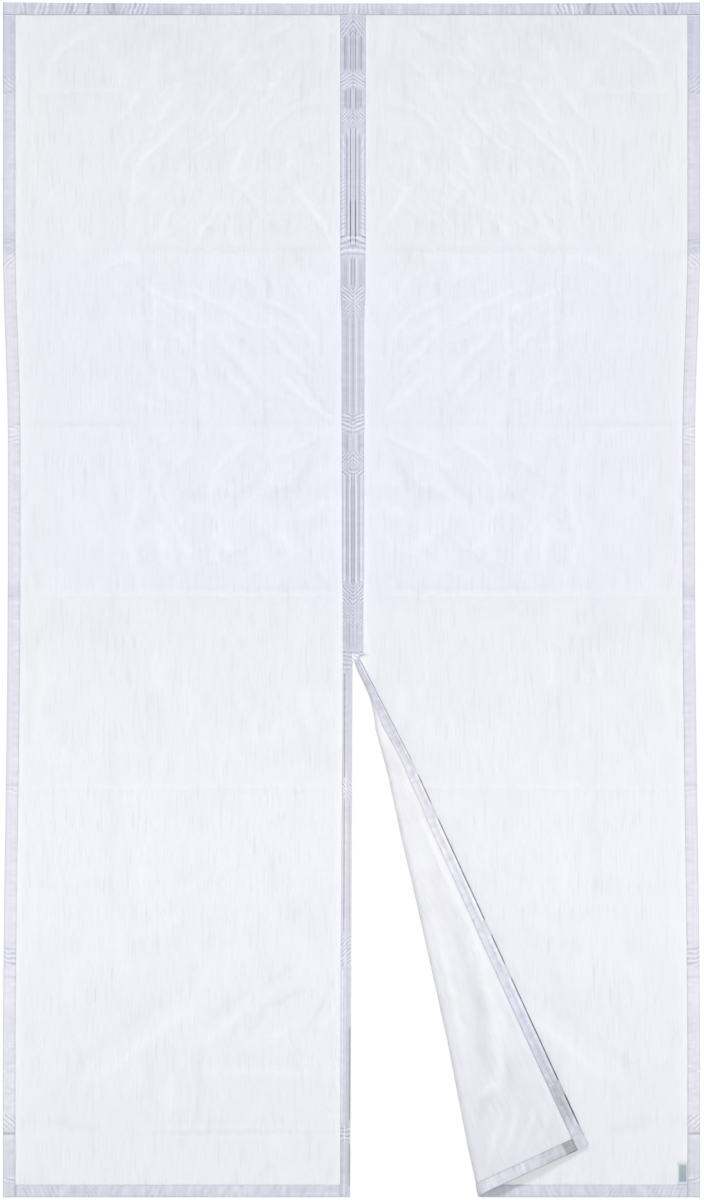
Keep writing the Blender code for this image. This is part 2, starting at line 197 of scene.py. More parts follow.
def crease_lift(side, across, drop):
    """How far out the panel stands there, from crease to crease."""
    rows = (TAPE_WIDTH,) + CREASE_DROPS + (DROP - TAPE_WIDTH,)
    heights = [0.0] + [CREASE_FRONT if j % 2 else -CREASE_BACK for j in range(len(CREASE_DROPS))] + [0.0]
    lift = between(list(zip(rows, heights)), drop)
    flat = TAPE_WIDTH + FLAT_MARGIN
    if side == "right" and drop > APEX_DROP:
        flat = max(flat, flap_edge(drop - APEX_DROP)[0] * 1.15 + FLAT_MARGIN)
    near = ease((across - flat) / FLAT_MARGIN)
    far = ease((PANEL_WIDTH[side] - TAPE_WIDTH - across) / FLAT_MARGIN)
    return lift * near * far * (1 - abs(across - CREASE_SHARE * PANEL_WIDTH[side]) / PANEL_WIDTH[side])


def fold_ends(side, drop):
    """Where the folded corner's roll starts and ends, measured across the cloth."""
    top = max(tape_state(side, drop)[3] - ROLL_RADIUS, POCKET_END)
    return top, top + TURN_LENGTH


def cloth_point(side, across, drop):
    """A point of a panel's middle surface: across is measured on the cloth from its free edge."""
    middle, angle, turn, width = tape_state(side, drop)
    down = drop - APEX_DROP
    away = Vector((-math.cos(turn), math.sin(turn), 0))
    run = -away * math.cos(angle) - Vector((0, 0, math.sin(angle)))
    if across <= POCKET_END:
        point = middle + run * (across - MAGNET_MIDDLE)
    else:
        pocket = middle + run * (POCKET_END - MAGNET_MIDDLE)
        folded = ease((math.degrees(angle) - 90) / 90)
        bulge = folded * ease((width - FLAP_START_WIDTH) / ROLL_RADIUS)
        top = max(width - ROLL_RADIUS, POCKET_END)
        nose, leaving, point = pocket, mix(run, away, bulge).normalized(), None
        if top > POCKET_END:
            edge = middle - run * MAGNET_MIDDLE
            far = Vector((edge.x, edge.y, 0)) + away * top
            far.z = 2 * ROLL_RADIUS
            nose = mix(pocket, far, min((top - POCKET_END) / (1.5 * ROLL_RADIUS), 1.0))
            share = (across - POCKET_END) / (top - POCKET_END)
            if share < 1:
                point = mix(pocket, nose, share)
                point.z = mix(pocket.z, nose.z, 1 - (1 - share) ** 2)
        share = (across - top) / TURN_LENGTH
        if point is None and share < 1:
            foot = Vector((top + TURN_LENGTH, down, 0))
            reach = mix(HANDLE, HANDLE / 2, folded * (1 - bulge))
            first = nose + leaving * reach
            second = foot - Vector((HANDLE + folded * max(foot.x - nose.x, 0.0), 0, 0))
            rest = 1 - share
            point = nose * rest**3 + first * 3 * rest**2 * share
            point = point + second * 3 * rest * share**2 + foot * share**3
        elif point is None:
            point = Vector((across, down, crease_lift(side, across, drop)))
        if side == "right" and top > TAPE_WIDTH:
            near = (across - TAPE_WIDTH) / (top - TAPE_WIDTH)
            far = 1 - (across - top - TURN_LENGTH) / ROLL_SETTLES
            point.x += between(ROLL_SHIFT, down) * ease(min(near, far))
    full = PANEL_WIDTH[side]
    calm = POCKET_END + LENGTH_OPEN * FLAP_SPREAD + TURN_LENGTH
    pulled = point.x - side_pull(drop) * max((point.x - calm) / (full - calm), 0.0)
    return Vector((SEAM_OFFSET + SIDES[side] * pulled, MID_Y - point.z, TOP_Z - APEX_DROP - point.y))


def cloth_frame(side, across, drop):
    """A point of the cloth, and the way out from it to its front."""
    step = CLEARANCE / 2
    along = cloth_point(side, across + step, drop) - cloth_point(side, across - step, drop)
    down = cloth_point(side, across, drop + step) - cloth_point(side, across, drop - step)
    return cloth_point(side, across, drop), along.cross(down).normalized() * -SIDES[side]


def lay_cloth(name, points, weave, marks, material, thickness=0):
    """A grid of cloth laid on points[row, column], with its threads' own map in metres and its marks."""
    points, weave = np.array(points), np.array(weave)
    rows, columns = points.shape[:2]
    bpy.ops.object.select_all(action="DESELECT")
    bpy.ops.mesh.primitive_grid_add(x_subdivisions=columns - 1, y_subdivisions=rows - 1, size=1)
    cloth = bpy.context.object
    cloth.name = cloth.data.name = name
    flat = np.empty(len(cloth.data.vertices) * 3)
    cloth.data.vertices.foreach_get("co", flat)
    flat = flat.reshape(-1, 3)
    i = np.rint((flat[:, 0] + 0.5) * (columns - 1)).astype(int)
    j = np.rint((flat[:, 1] + 0.5) * (rows - 1)).astype(int)
    cloth.data.vertices.foreach_set("co", points[j, i].ravel())
    corners = np.empty(len(cloth.data.loops), dtype=int)
    cloth.data.loops.foreach_get("vertex_index", corners)
    cloth.data.uv_layers[0].name = "threads"
    cloth.data.uv_layers[0].data.foreach_set("uv", weave[j, i][corners].ravel())
    for mark, values in marks.items():
        layer = cloth.data.attributes.new(mark, "FLOAT", "POINT")
        layer.data.foreach_set("value", np.array(values)[j, i].astype(np.float32))
    cloth.data.update()
    bpy.ops.object.shade_smooth()
    if thickness:
        both = cloth.modifiers.new("both_sides", "SOLIDIFY")
        both.thickness, both.offset = thickness, 0
        bpy.ops.object.modifier_apply(modifier=both.name)
    cloth.data.materials.append(material)
    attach(cloth, "root")
    return cloth


class Reading:
    """A number that changes over a surface. Sums with it add Math nodes to its finish."""

    def __init__(self, finish, socket):
        self.finish, self.socket = finish, socket

    def sum(self, operation, first, second):
        return self.finish.add("ShaderNodeMath", {"operation": operation}, {0: first, 1: second})

    def __add__(self, other):
        return self.sum("ADD", self, other)

    def __radd__(self, other):
        return self.sum("ADD", other, self)

    def __sub__(self, other):
        return self.sum("SUBTRACT", self, other)

    def __rsub__(self, other):
        return self.sum("SUBTRACT", other, self)

    def __mul__(self, other):
        return self.sum("MULTIPLY", self, other)

    def __rmul__(self, other):
        return self.sum("MULTIPLY", other, self)

    def __truediv__(self, other):
        return self.sum("DIVIDE", self, other)


class Finish:
    """A material, or the room's own light, and the nodes that are added to it."""

    def __init__(self, name, kept_in=bpy.data.materials):
        self.material = kept_in.new(name)
        self.material.use_nodes = True
        self.nodes = self.material.node_tree.nodes
        self.nodes.clear()

    def add(self, kind, settings, sockets, output=0):
        """A node of this type with its settings, and values or readings on its sockets."""
        node = self.nodes.new(kind)
        for key, value in settings.items():
            if key != "stops":
                setattr(node, key, value)
                continue
            stops = node.color_ramp.elements
            while len(stops) < len(value):
                stops.new(0.5)
            for stop, (share, _) in zip(stops, value):
                stop.position = share
            for stop, (_, tone) in zip(stops, value):
                stop.color = (*tone, 1)
        for key, value in sockets.items():
            usable = [s for s in node.inputs if s.enabled]
            socket = usable[key] if isinstance(key, int) else next(s for s in usable if s.name == key)
            if isinstance(value, Reading):
                self.material.node_tree.links.new(value.socket, socket)
            else:
                socket.default_value = value
        outputs = [s for s in node.outputs if s.enabled]
        return Reading(self, outputs[output]) if outputs else None

    def mark(self, name):
        return self.add("ShaderNodeAttribute", {"attribute_name": name}, {}, output=2)

    def ranged(self, value, low, high, to_low=0.0, to_high=1.0):
        """A reading brought from low..high to another range, smooth at both ends."""
        sockets = {"Value": value, "From Min": low, "From Max": high, "To Min": to_low, "To Max": to_high}
        return self.add("ShaderNodeMapRange", {"interpolation_type": "SMOOTHSTEP"}, sockets)

    def threads(self, across, along, seed=0.0):
        """Noise drawn out along the cloth: across and along are a mark's usual size in metres."""
        place = self.add("ShaderNodeUVMap", {"uv_map": "threads"}, {})
        drawn = {"Vector": place, "Scale": (1 / across, 1 / along, 1), "Location": (seed, seed * 1.7, 0)}
        where = self.add("ShaderNodeMapping", {}, drawn)
        return self.add("ShaderNodeTexNoise", {}, {"Vector": where, "Scale": 1.0, "Detail": 2.0})

    def place(self, axis=None):
        """The place in the room, or how far along one of its axes."""
        where = self.add("ShaderNodeTexCoord", {}, {}, output=3)
        return where if axis is None else self.add("ShaderNodeSeparateXYZ", {}, {0: where}, output=axis)

    def colour(self, share, first, second):
        """One colour passing into another."""
        sockets = {0: share, "A": first, "B": second}
        return self.add("ShaderNodeMix", {"data_type": "RGBA", "clamp_factor": True}, sockets)

    def shaded(self, colour, amount):
        """A colour made lighter or darker by a reading near 1."""
        return self.tinted(colour, self.add("ShaderNodeCombineXYZ", {}, {0: amount, 1: amount, 2: amount}))

    def tinted(self, colour, tint):
        return self.add("ShaderNodeVectorMath", {"operation": "MULTIPLY"}, {0: colour, 1: tint})

    def relief(self, height, distance, strength=1.0):
        """A bump of a reading that is 1 at this height in metres."""
        return self.add("ShaderNodeBump", {}, {"Height": height, "Distance": distance, "Strength": strength})

    def surface(self, sockets):
        shader = self.add("ShaderNodeBsdfPrincipled", {}, sockets)
        self.add("ShaderNodeOutputMaterial", {}, {"Surface": shader})
        return self.material


# How much lower the top edge hangs at each distance from its middle
TOP_SAG_AT = (0, 0.30, 0.45, 0.60, 0.70)
TOP_SAG = (0.0022, 0.0022, 0.0017, 0.0012, 0)
ROWS = 480
FLAP_COLUMNS, ROLL_COLUMNS = 42, 14
PANEL_COLUMNS = 136
LEFT_COLUMNS = PANEL_COLUMNS + 6
FOLD_RISE = 2.2
FOLD_WANDER = 4
PACKED_SHARE, CRUMPLED_SHARE, CORNER_SHARE = 0.85, 0.6, 0.9
# How strongly the packing folds and the wrinkles are painted lighter on their tops and darker in their
# hollows
PACKED_PAINTED_LIGHT, CRUMPLED_PAINTED_LIGHT = 1.3, 0.5
CALM_EDGE = 0.016


def folds_in(table):
    """Folds read from lines of their lift, their breadth and the points that they run through."""
    read = []
    for line in table.split("\n")[1:-1]:
        lift, breadth, *points = line.split()
        read.append((float(lift), float(breadth), [tuple(map(float, point.split(","))) for point in points]))
    return read


# Packing folds of one panel in millimetres. Their points are across from the seam and down from the top
PACKED_FOLDS = folds_in("""
1.2 10 617,181 609,126 584,96 548,72 514,52
1.3 8 468,474 448,428 442,387 440,347 428,317 408,301 378,273 351,247 329,223
0.9 8 416,285 398,253 382,223 364,197 347,166 331,146
0.8 8 480,365 468,327 454,301 436,283
1.2 8 327,303 297,289 271,263 251,241 231,221 227,189
0.7 8 311,267 297,227 283,203 269,185
1 8 271,171 247,146 231,132 217,112 203,88
1.2 10 181,273 163,247 143,227 118,211
0.8 8 179,213 167,177 147,146 127,132 112,116 104,86
1.1 10 191,80 157,60 131,46 112,24
1.1 10 472,241 454,221 440,201 426,181
0.8 10 470,120 468,152 458,179
0.7 10 398,32 400,96 402,173
0.6 10 313,60 317,116 317,181
0.6 14 54,36 56,96 66,173
1.2 10 400,494 392,462 376,434 359,405
1.2 10 319,490 301,454 283,434 277,403
0.8 10 235,494 245,468 253,438
1.3 8 30,514 44,484 62,448 82,418 100,393 123,363 139,345
0.9 10 183,442 191,418 211,387 227,369 251,353
1 12 241,341 231,311 215,283
0.9 16 141,349 131,317 123,281
-0.9 8 191,442 203,409 221,381 235,361
0.6 10 649,207 645,277 643,337 637,422
1.3 8 428,520 418,548 412,574 398,602 398,642 400,689 394,739 388,779 386,819
0.8 10 512,540 484,524 456,514 426,518
1.2 8 412,578 378,594 347,604 323,618 307,638 309,683 313,729 307,775 301,809
1.1 8 351,574 317,580 287,600 251,614 227,634 203,650 181,681
0.8 12 366,657 343,679 329,703
0.9 12 279,667 257,689 237,703 217,723 209,747
1.1 8 271,727 251,743 231,769 207,795
-1 6 251,715 231,737 213,763 191,801
1.1 8 187,596 157,608 127,622 104,642 82,669 68,693
1 10 179,657 151,683 135,703 114,727
-0.8 8 137,675 112,699 90,731 62,747
1.2 8 161,735 137,759 112,781 90,805 66,823 34,841
-1.3 6 118,731 98,759 76,793 54,819 30,839
0.9 12 205,514 201,554 193,602
0.8 10 123,542 100,574 88,602
0.7 10 44,550 62,574 80,602
1.3 12 452,875 444,920 438,960 438,1000 446,1040 458,1080 448,1112 438,1145 430,1185
1.1 10 26,855 66,869 96,887 127,900 157,912 183,932
1.2 10 203,875 227,898 257,918 279,942 289,980 287,1012 275,1042 255,1072 249,1104
1 12 323,900 347,922 368,944
1.2 10 392,936 398,976 388,1016 368,1048 347,1080 333,1112 331,1145
0.9 14 394,1040 390,1090 382,1132
0.8 10 40,908 54,948 66,984
0.8 12 46,968 40,1040 40,1094
1 20 191,1040 167,1064 137,1090 102,1104
0.9 16 283,1056 259,1090 231,1112
0.8 12 171,952 153,972 127,964
-1.3 16 70,879 90,924 108,972 125,1000
-1.3 16 183,952 209,980 235,1006
-0.9 20 327,980 347,1010 355,1040
1 14 26,1000 70,1016 106,1040
0.8 12 70,1120 56,1151 34,1177
0.7 16 641,1273 637,1321 629,1365 639,1426 643,1492
0.6 14 404,1281 398,1337 388,1412
0.7 12 484,1305 496,1337 508,1361
0.6 16 339,1311 333,1361 341,1402
0.7 12 147,1311 143,1361 131,1402
0.6 18 203,1402 195,1442 193,1492
0.7 16 100,1382 94,1426 82,1482
-0.6 14 243,1265 217,1297 191,1325
0.5 14 247,1331 239,1382 211,1426
-0.7 24 604,2205 564,2149 518,2104 452,2052 392,2012 327,1980
0.8 18 508,2161 458,2125 424,2088 388,2068 351,2036 327,2012
-0.7 20 315,2060 279,2040 235,2004 207,1980
0.8 16 307,2096 263,2064 227,2032 195,1988
-1.2 12 211,2080 191,2048 175,2020 139,2004 98,1984
-0.8 12 183,1984 155,1960 110,1932
-1.4 8 24,1904 32,1948 46,1984 66,2020 82,2048 106,2080
1 18 30,2004 42,2036 62,2068
1.1 16 364,2125 368,2185 376,2261
-1 16 416,2109 408,2175 404,2229
-1.1 14 311,2088 307,2165 315,2253
0.6 12 291,2155 207,2149 66,2153
0.7 16 167,2084 131,2064 106,2048
-0.6 12 524,1974 532,2020 548,2064
-0.6 16 355,1813 343,1853 368,1904
0.5 16 428,1703 422,1783 432,1864
-0.5 14 207,1813 203,1874 183,1924
0.6 16 653,1733 643,1803 647,1884 657,1964
-0.8 14 609,2249 568,2261 512,2265
-0.9 16 183,2305 171,2335 175,2366
-0.8 16 30,2305 38,2341 54,2374
""")
# Those of the folded corner, with points across from its free edge and down from the top of the opening
CORNER_FOLDS = folds_in("""
-2 22 60,568 76,649 85,733 113,809 144,894
2.2 20 30,549 36,601 37,667 58,746 79,824 121,927
1.6 16 77,450 100,549 116,641 139,730 163,830 186,919
1.2 12 204,1043 162,996 130,960
1.2 12 164,1039 127,1001 99,965
1.2 12 129,1044 90,1007 70,979
1 10 94,1050 62,1020 46,990
1.4 12 30,344 32,421 36,506 38,572
1.4 16 48,772 73,849 107,900
-1.2 14 60,800 80,860 96,940
1.2 14 164,918 129,901 119,927
-1.4 16 178,960 160,930 140,925
""")
# Straight creases where the panels were folded flat
PRESSED = folds_in("""
0.8 6 460,178 640,180
-0.8 7 14,498 250,500 500,497
-1 8 440,850 660,851
-0.4 8 14,848 440,850
0.8 6 14,1191 660,1190
-0.5 8 14,1180 400,1181
0.6 6 14,1576 660,1577
-0.9 7 25,2271 430,2273
0.5 7 25,2262 430,2262
-0.6 6 317,40 317,600 318,1150
-0.6 6 179,60 179,640 180,1150
-0.7 9 418,380 418,830
-0.7 9 414,1240 416,1600
-0.7 14 488,900 486,1240
-0.7 12 488,1390 486,1980
-0.6 12 488,240 484,330
1 20 277,1040 277,1135
1 20 378,1045 378,1130
0.9 18 139,1030 136,1125
-0.8 20 338,985 278,1008
-0.8 18 205,990 150,1005
""")


def packed(folds, across, down):
    """How far out folds in millimetres lift the cloth, in metres, and their painted light: a narrow painted
    highlight along each raised fold and painted shade along each sunken one.
    """
    lift, crest = np.zeros(across.shape), np.zeros(across.shape)
    for height, breadth, line in folds:
        nearest, share = np.full(across.shape, 1e9), np.zeros(across.shape)
        total = sum(math.dist(a, b) for a, b in zip(line, line[1:]))
        reached = 0.0
        for (x0, y0), (x1, y1) in zip(line, line[1:]):
            length = math.dist((x0, y0), (x1, y1))
            on = (across - x0) * (x1 - x0) + (down - y0) * (y1 - y0)
            on = np.clip(on / length**2, 0, 1)
            apart = np.hypot(across - x0 - on * (x1 - x0), down - y0 - on * (y1 - y0))
            share = np.where(apart < nearest, (reached + on * length) / total, share)
            nearest = np.minimum(nearest, apart)
            reached += length
        taper = np.sqrt(np.sin(math.pi * np.clip(share, 0.02, 0.98)))
        lift += FOLD_RISE * height / 1000 * np.exp(-((nearest / breadth * 1.25) ** 2)) * taper
        # Painted highlight along the fold, with a little painted shade either side of it; a sunken fold gets
        # painted shade
        painted_fold_light = np.exp(-((nearest / breadth * 1.55) ** 2)) - 0.18 * np.exp(-((nearest / breadth * 0.7) ** 2))
        crest += math.copysign(min(abs(height), 1.3), height) * painted_fold_light * taper
    return lift, crest


# How it is crumpled from crease to crease: (top, bottom, slope of the wrinkles, strength)
CRUMPLED = [
    (0.02, 0.49, 1.1, 1.0), (0.51, 0.84, -0.9, 1.0), (0.86, 1.18, 0.8, 0.9), (1.20, 1.56, 2.5, 0.35),
    (1.60, 1.94, 0.7, 0.35), (1.97, 2.26, -0.7, 0.5),
]


def crumpled(across, down):
    """Small branching wrinkles that lie along each stretch's own slope."""
    lift, crest = np.zeros(across.shape), np.zeros(across.shape)
    for top, bottom, slope, strength in CRUMPLED:
        length = math.hypot(1, slope)
        rows = np.flatnonzero((down[:, 0] > top) & (down[:, 0] < bottom))
        for j in rows:
            inside = min(down[j, 0] - top, bottom - down[j, 0])
            for i in range(across.shape[1]):
                a, d = across[j, i], down[j, 0]
                zone = ease((a - 0.02) / 0.04) * ease((0.50 - a) / 0.10) * ease(inside / 0.03) * strength
                if zone == 0:
                    continue
                along, beside = (a + slope * d) / length, (slope * a - d) / length
                bent = beside + 0.012 * waver(along * 14, beside * 14, top + 5)
                n = waver(along * 11, bent * 34, top * 10)
                m = waver(along * 26, bent * 70, top * 10 + 3)
                ridge = bell(n, 0.10) + 0.5 * bell(m, 0.12)
                lift[j, i] = zone * (0.0012 * ridge + 0.0010 * n)
                # Painted highlight on the wrinkles' ridges and painted shade between them
                crest[j, i] = zone * (0.9 * ridge - 0.45 + 0.8 * n)
    return lift, crest


# Its tone from top to bottom, as shares of the drop: bluer between the second and fourth creases
NET_TONES = [
    (0.010, (0.736, 0.750, 0.838)), (0.043, (0.749, 0.764, 0.848)), (0.077, (0.770, 0.785, 0.860)),
    (0.144, (0.785, 0.799, 0.876)), (0.194, (0.784, 0.794, 0.896)), (0.230, (0.780, 0.780, 0.932)),
    (0.465, (0.773, 0.773, 0.926)), (0.485, (0.766, 0.768, 0.902)), (0.497, (0.780, 0.795, 0.880)),
    (0.545, (0.794, 0.809, 0.884)), (0.600, (0.806, 0.821, 0.896)), (0.679, (0.824, 0.839, 0.913)),
    (0.746, (0.812, 0.827, 0.900)), (0.813, (0.792, 0.807, 0.884)), (0.880, (0.764, 0.779, 0.854)),
    (0.914, (0.742, 0.757, 0.830)), (0.980, (0.720, 0.735, 0.808)),
]


def net_finish():
    """White netting: fine threads with thicker ones down the cloth, seen through by four tenths."""
    net = Finish("netting")
    height = net.place(2)
    crest, calm, turned = net.mark("crest"), net.mark("beside_tape"), net.mark("turned_over")
    fine, coarse = net.threads(0.0034, 0.060), net.threads(0.0075, 0.130, seed=3.0)
    cloud = net.threads(0.090, 0.110, seed=7.0)
    patches = net.threads(0.030, 0.060, seed=11.0)
    down = height / -DROP + (cloud - 0.5) * 0.05 + (patches - 0.5) * 0.03
    colour = net.add("ShaderNodeValToRGB", {"stops": NET_TONES}, {0: down})
    lilac = net.ranged(cloud, 0.50, 0.62) * net.ranged(height, -0.55, -0.45) * 0.5
    colour = net.colour(lilac, colour, (0.772, 0.772, 0.912, 1))
    # The turned-over corner is painted paler, as painted light on the fold that stands out towards the lamps,
    # in paler and less pale patches
    shown = net.colour(net.ranged(patches, 0.40, 0.60), (0.950, 0.940, 1.0, 1), (0.985, 0.985, 0.995, 1))
    colour = net.colour(turned, colour, shown)
    warm = net.mark("near_side") * net.ranged(height, -1.5, -1.3)
    warm = net.colour(warm, (1, 1, 1, 1), (0.995, 0.999, 0.955, 1))
    colour = net.tinted(colour, warm)
    dark = net.ranged(fine, 0.55, 0.72) * 0.120 + net.ranged(coarse, 0.58, 0.72) * 0.080
    # Painted light: fold tops lighter and their hollows darker, and a painted highlight on the netting along
    # the tapes. The threads and the cloudy noise give the rest
    light = net.ranged(fine, 0.44, 0.26) * 0.045 + (cloud - 0.5) * 0.12 + crest * 0.066 + calm * 0.10
    colour = net.shaded(colour, 1.012 - dark + light)
    grid = net.add("ShaderNodeUVMap", {"uv_map": "threads"}, {})
    mesh = net.add("ShaderNodeTexBrick", {"offset": 0.0}, {
        "Vector": grid, "Scale": 1.0, "Brick Width": 0.0012, "Row Height": 0.0012,
        "Mortar Size": 0.0002, "Mortar Smooth": 0.6,
    }, output=1)
    bump = net.relief(fine * 0.6 + coarse * 0.4 + mesh * 0.15, 0.0010)
    see = 0.585 + mesh * 0.05 + dark * 0.5 + turned * 0.14
    return net.surface({
        "Base Color": colour, "Roughness": 0.45, "Alpha": see, "Normal": bump,
        "Sheen Weight": 0.10, "Sheen Roughness": 0.4, "Specular IOR Level": 0.45,
    })


netting = net_finish()
for side in SIDES:
    full = PANEL_WIDTH[side]
    drops = np.linspace(NETTING_TUCK, DROP - NETTING_TUCK, ROWS + 1)
    across = []
    for drop in drops:
        if side == "left":
            across.append(np.linspace(POCKET_END, full - NETTING_TUCK, LEFT_COLUMNS))
            continue
        roll, foot = fold_ends(side, drop)
        roll, foot = max(roll, POCKET_END + 0.010), max(foot + 0.004, POCKET_END + 0.050)
        corner = np.linspace(POCKET_END, roll, FLAP_COLUMNS, endpoint=False)
        turn = np.linspace(roll, foot, ROLL_COLUMNS, endpoint=False)
        across.append(np.concatenate([corner, turn, np.linspace(foot, full - NETTING_TUCK, PANEL_COLUMNS)]))
    across = np.array(across)
    down = np.repeat(drops[:, None], across.shape[1], axis=1)

    def over(rule):
        return np.array([[rule(a, d) for a in row] for row, d in zip(across, drops)])

    points = over(lambda a, d: cloth_point(side, a, d))
    swell = over(lambda a, d: 0.0011 * waver(a * 9, d * 7, 3.0) + 0.0006 * waver(a * 26, d * 17, 8.0)
                 + 0.00022 * waver(a * 75, d * 45, 1.0))
    warped = across * 1000 + over(lambda a, d: waver(a * 60, d * 60, full * 40)) * FOLD_WANDER
    lowered = down * 1000 + over(lambda a, d: waver(a * 60, d * 60, 9.0 + full * 40)) * FOLD_WANDER
    # Lift from the folds, and the painted light that follows them
    lift, crest = packed(PACKED_FOLDS + PRESSED, warped, lowered)
    crest *= np.interp(down, [0.84, 0.88, 1.17, 1.21], [1.0, 0.75, 0.75, 1.0])
    branches, painted_fold_light = crumpled(across, down)
    lift = PACKED_SHARE * lift + CRUMPLED_SHARE * branches
    crest = PACKED_PAINTED_LIGHT * crest + CRUMPLED_PAINTED_LIGHT * painted_fold_light
    smooth = np.vectorize(ease)
    inner = POCKET_END + CALM_EDGE
    calm = smooth((across - inner) / CALM_EDGE) * smooth((full - TAPE_WIDTH - across) / CALM_EDGE)
    calm *= smooth((down - TAPE_WIDTH) / 0.02) * smooth((DROP - TAPE_WIDTH - down) / 0.02)
    if side == "right":
        ends = np.array([fold_ends(side, drop) for drop in drops])
        beyond = smooth((across - ends[:, 1:2] - 0.008) / 0.03)
        within = smooth((ends[:, 0:1] - across) / 0.02) * smooth((across - TAPE_WIDTH) / 0.01)
        corner_lift, corner_painted_light = packed(CORNER_FOLDS, warped, lowered - APEX_DROP * 1000)
        swell = swell * calm * np.maximum(beyond, within)
        # How far each row counts as the turned-over corner: painted paler and seen through less, fading down
        # the opening
        turned = np.interp(down - APEX_DROP, [0, 0.02, 0.25, 0.45, 0.65, 0.80, 0.90, 1.10],
                           [0, 1.0, 0.97, 0.90, 0.80, 0.66, 0.52, 0.44])
        turned = turned * smooth((ends[:, 1:2] - across) / 0.01)
        lift = lift * beyond * calm + CORNER_SHARE * corner_lift * within
        crest = crest * beyond * calm + PACKED_PAINTED_LIGHT * corner_painted_light * within
    else:
        swell, lift, crest = swell * calm, lift * calm, crest * calm
        turned = np.zeros(across.shape)
    points[:, :, 1] -= lift + swell
    sag = np.interp(np.abs(points[:, :, 0]), TOP_SAG_AT, TOP_SAG)
    points[:, :, 2] -= sag * np.maximum(1 - down / TAPE_WIDTH, 0)
    # A painted highlight on the netting along the side and middle tapes, weaker on the turned-over corner
    beside = np.exp(-((full - TAPE_WIDTH - across) / 0.012) ** 2)
    beside += (1.3 - 0.6 * turned) * np.exp(-((across - TAPE_WIDTH) / 0.009) ** 2)
    near_side = smooth((across - full + 0.11) / 0.07)
    marks = {"crest": crest, "beside_tape": beside, "turned_over": turned, "near_side": near_side}
    weave = np.stack([across, down], axis=2)
    lay_cloth(f"{side}_netting", points, weave, marks, netting)
    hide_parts(f"{side}_mesh_panel")


# The binding: white satin tape folded in half round every raw edge of the netting
# and sewn through near its inner edge, so that it puckers a little between stitches.
# The top tape runs full width, the side tapes over the ends of the bottom ones.

SATIN_DEEP = (0.585, 0.588, 0.700, 1)
SATIN_PALE = (0.750, 0.741, 0.812, 1)
SEAM_IN = 0.0024
LEAF_ROWS = 0.0030


def satin_finish():
    """Satin tape: close floating threads along it, a soft gloss, and paler or deeper lengths that are painted
    highlight and shade, with some random variation.
    """
    satin = Finish("satin_tape")
    crest, tone = satin.mark("crest"), satin.mark("tone")
    floats, bands = satin.threads(0.0006, 0.030), satin.threads(0.0040, 0.300, seed=5.0)
    slubs = satin.threads(0.0100, 0.0100, seed=2.0)
    colour = satin.colour(tone + (slubs - 0.5) * 0.50, SATIN_DEEP, SATIN_PALE)
    # Less blue towards the bottom
    less_blue_low = satin.colour(satin.ranged(satin.place(2), -1.95, -2.25), (1, 1, 1, 1), (0.990, 1.0, 0.942, 1))
    colour = satin.tinted(colour, less_blue_low)
    # The relief's painted-light mark makes the tape lighter or darker: painted highlight and shade on its
    # puckers, grooves, edges and creases, with some random mottle
    colour = satin.shaded(colour, 1.0 + (bands - 0.5) * 0.24 + (floats - 0.5) * 0.12 + crest * 0.36)
    bump = satin.relief(floats * 0.5 + bands * 0.5, 0.0004)
    return satin.surface({
        "Base Color": colour, "Roughness": 0.42 + (floats - 0.5) * 0.2, "Normal": bump,
        "Sheen Weight": 0.15, "Sheen Roughness": 0.35, "Specular IOR Level": 0.5,
    })


satin = satin_finish()


def folded_section(width, radius, leaf, steps):
    """(into, out, face) round a folded tape, from the front leaf's inner edge to the back one's."""
    flat = np.linspace(width, radius + TAPE / 2, steps)
    turn = np.linspace(0, math.pi, 9)[1:-1]
    front = [(into, leaf, 1) for into in flat]
    fold = [(TAPE / 2 + radius * (1 - math.sin(a)), leaf * math.cos(a), math.cos(a)) for a in turn]
    return front + fold + [(into, -leaf, -1) for into in flat[::-1]]


# The sewing thread: white, and twisted from plies. STITCH_PATH is how far it stands out of the
# tape at five places along each stitch: out on top, then in through both leaves.
thread = Finish("sewing_thread")
twist = thread.threads(0.0004, 0.0009)
white_thread = thread.colour(twist, (0.80, 0.80, 0.84, 1), (0.90, 0.90, 0.92, 1))
thread.surface({
    "Base Color": thread.shaded(white_thread, twist * 0.1 + 0.95), "Roughness": 0.55,
    "Normal": thread.relief(twist, 0.0001), "Sheen Weight": 0.2,
})
STITCH = 0.0045
STITCH_PATH = (0.00005, 0.00022, 0.00022, 0.00005, -0.00050)
THREAD_RADIUS = 0.00022
THREAD_END = 0.002
stitches = {}


def sew(name, start, end, seams, place, relief):
    """Thread in and out of the tape's two leaves, one stitch after another, in front and behind."""
    stitches[name] = []
    around = np.linspace(0, 2 * math.pi, 5)
    ring = [(THREAD_RADIUS * math.cos(a), THREAD_RADIUS * math.sin(a)) for a in around]
    for k, seam in enumerate(seams):
        for face, where in ((1, "front"), (-1, "back")):
            points, weave = [], []
            for step in range(int((end - start) / STITCH) * 5):
                at = start + step * STITCH / 5
                into = seam(at)
                out = HALF_LEAF + TAPE / 2 + relief(into, at, face)[0] + STITCH_PATH[step % 5]
                points.append([place(into + aside, at, face * (out + up)) for aside, up in ring])
                weave.append([(j * 0.0004, at) for j in range(5)])
            line = f"{name}_stitches_{k}_{where}"
            stitches[name].append(lay_cloth(line, points, weave, {}, thread.material))


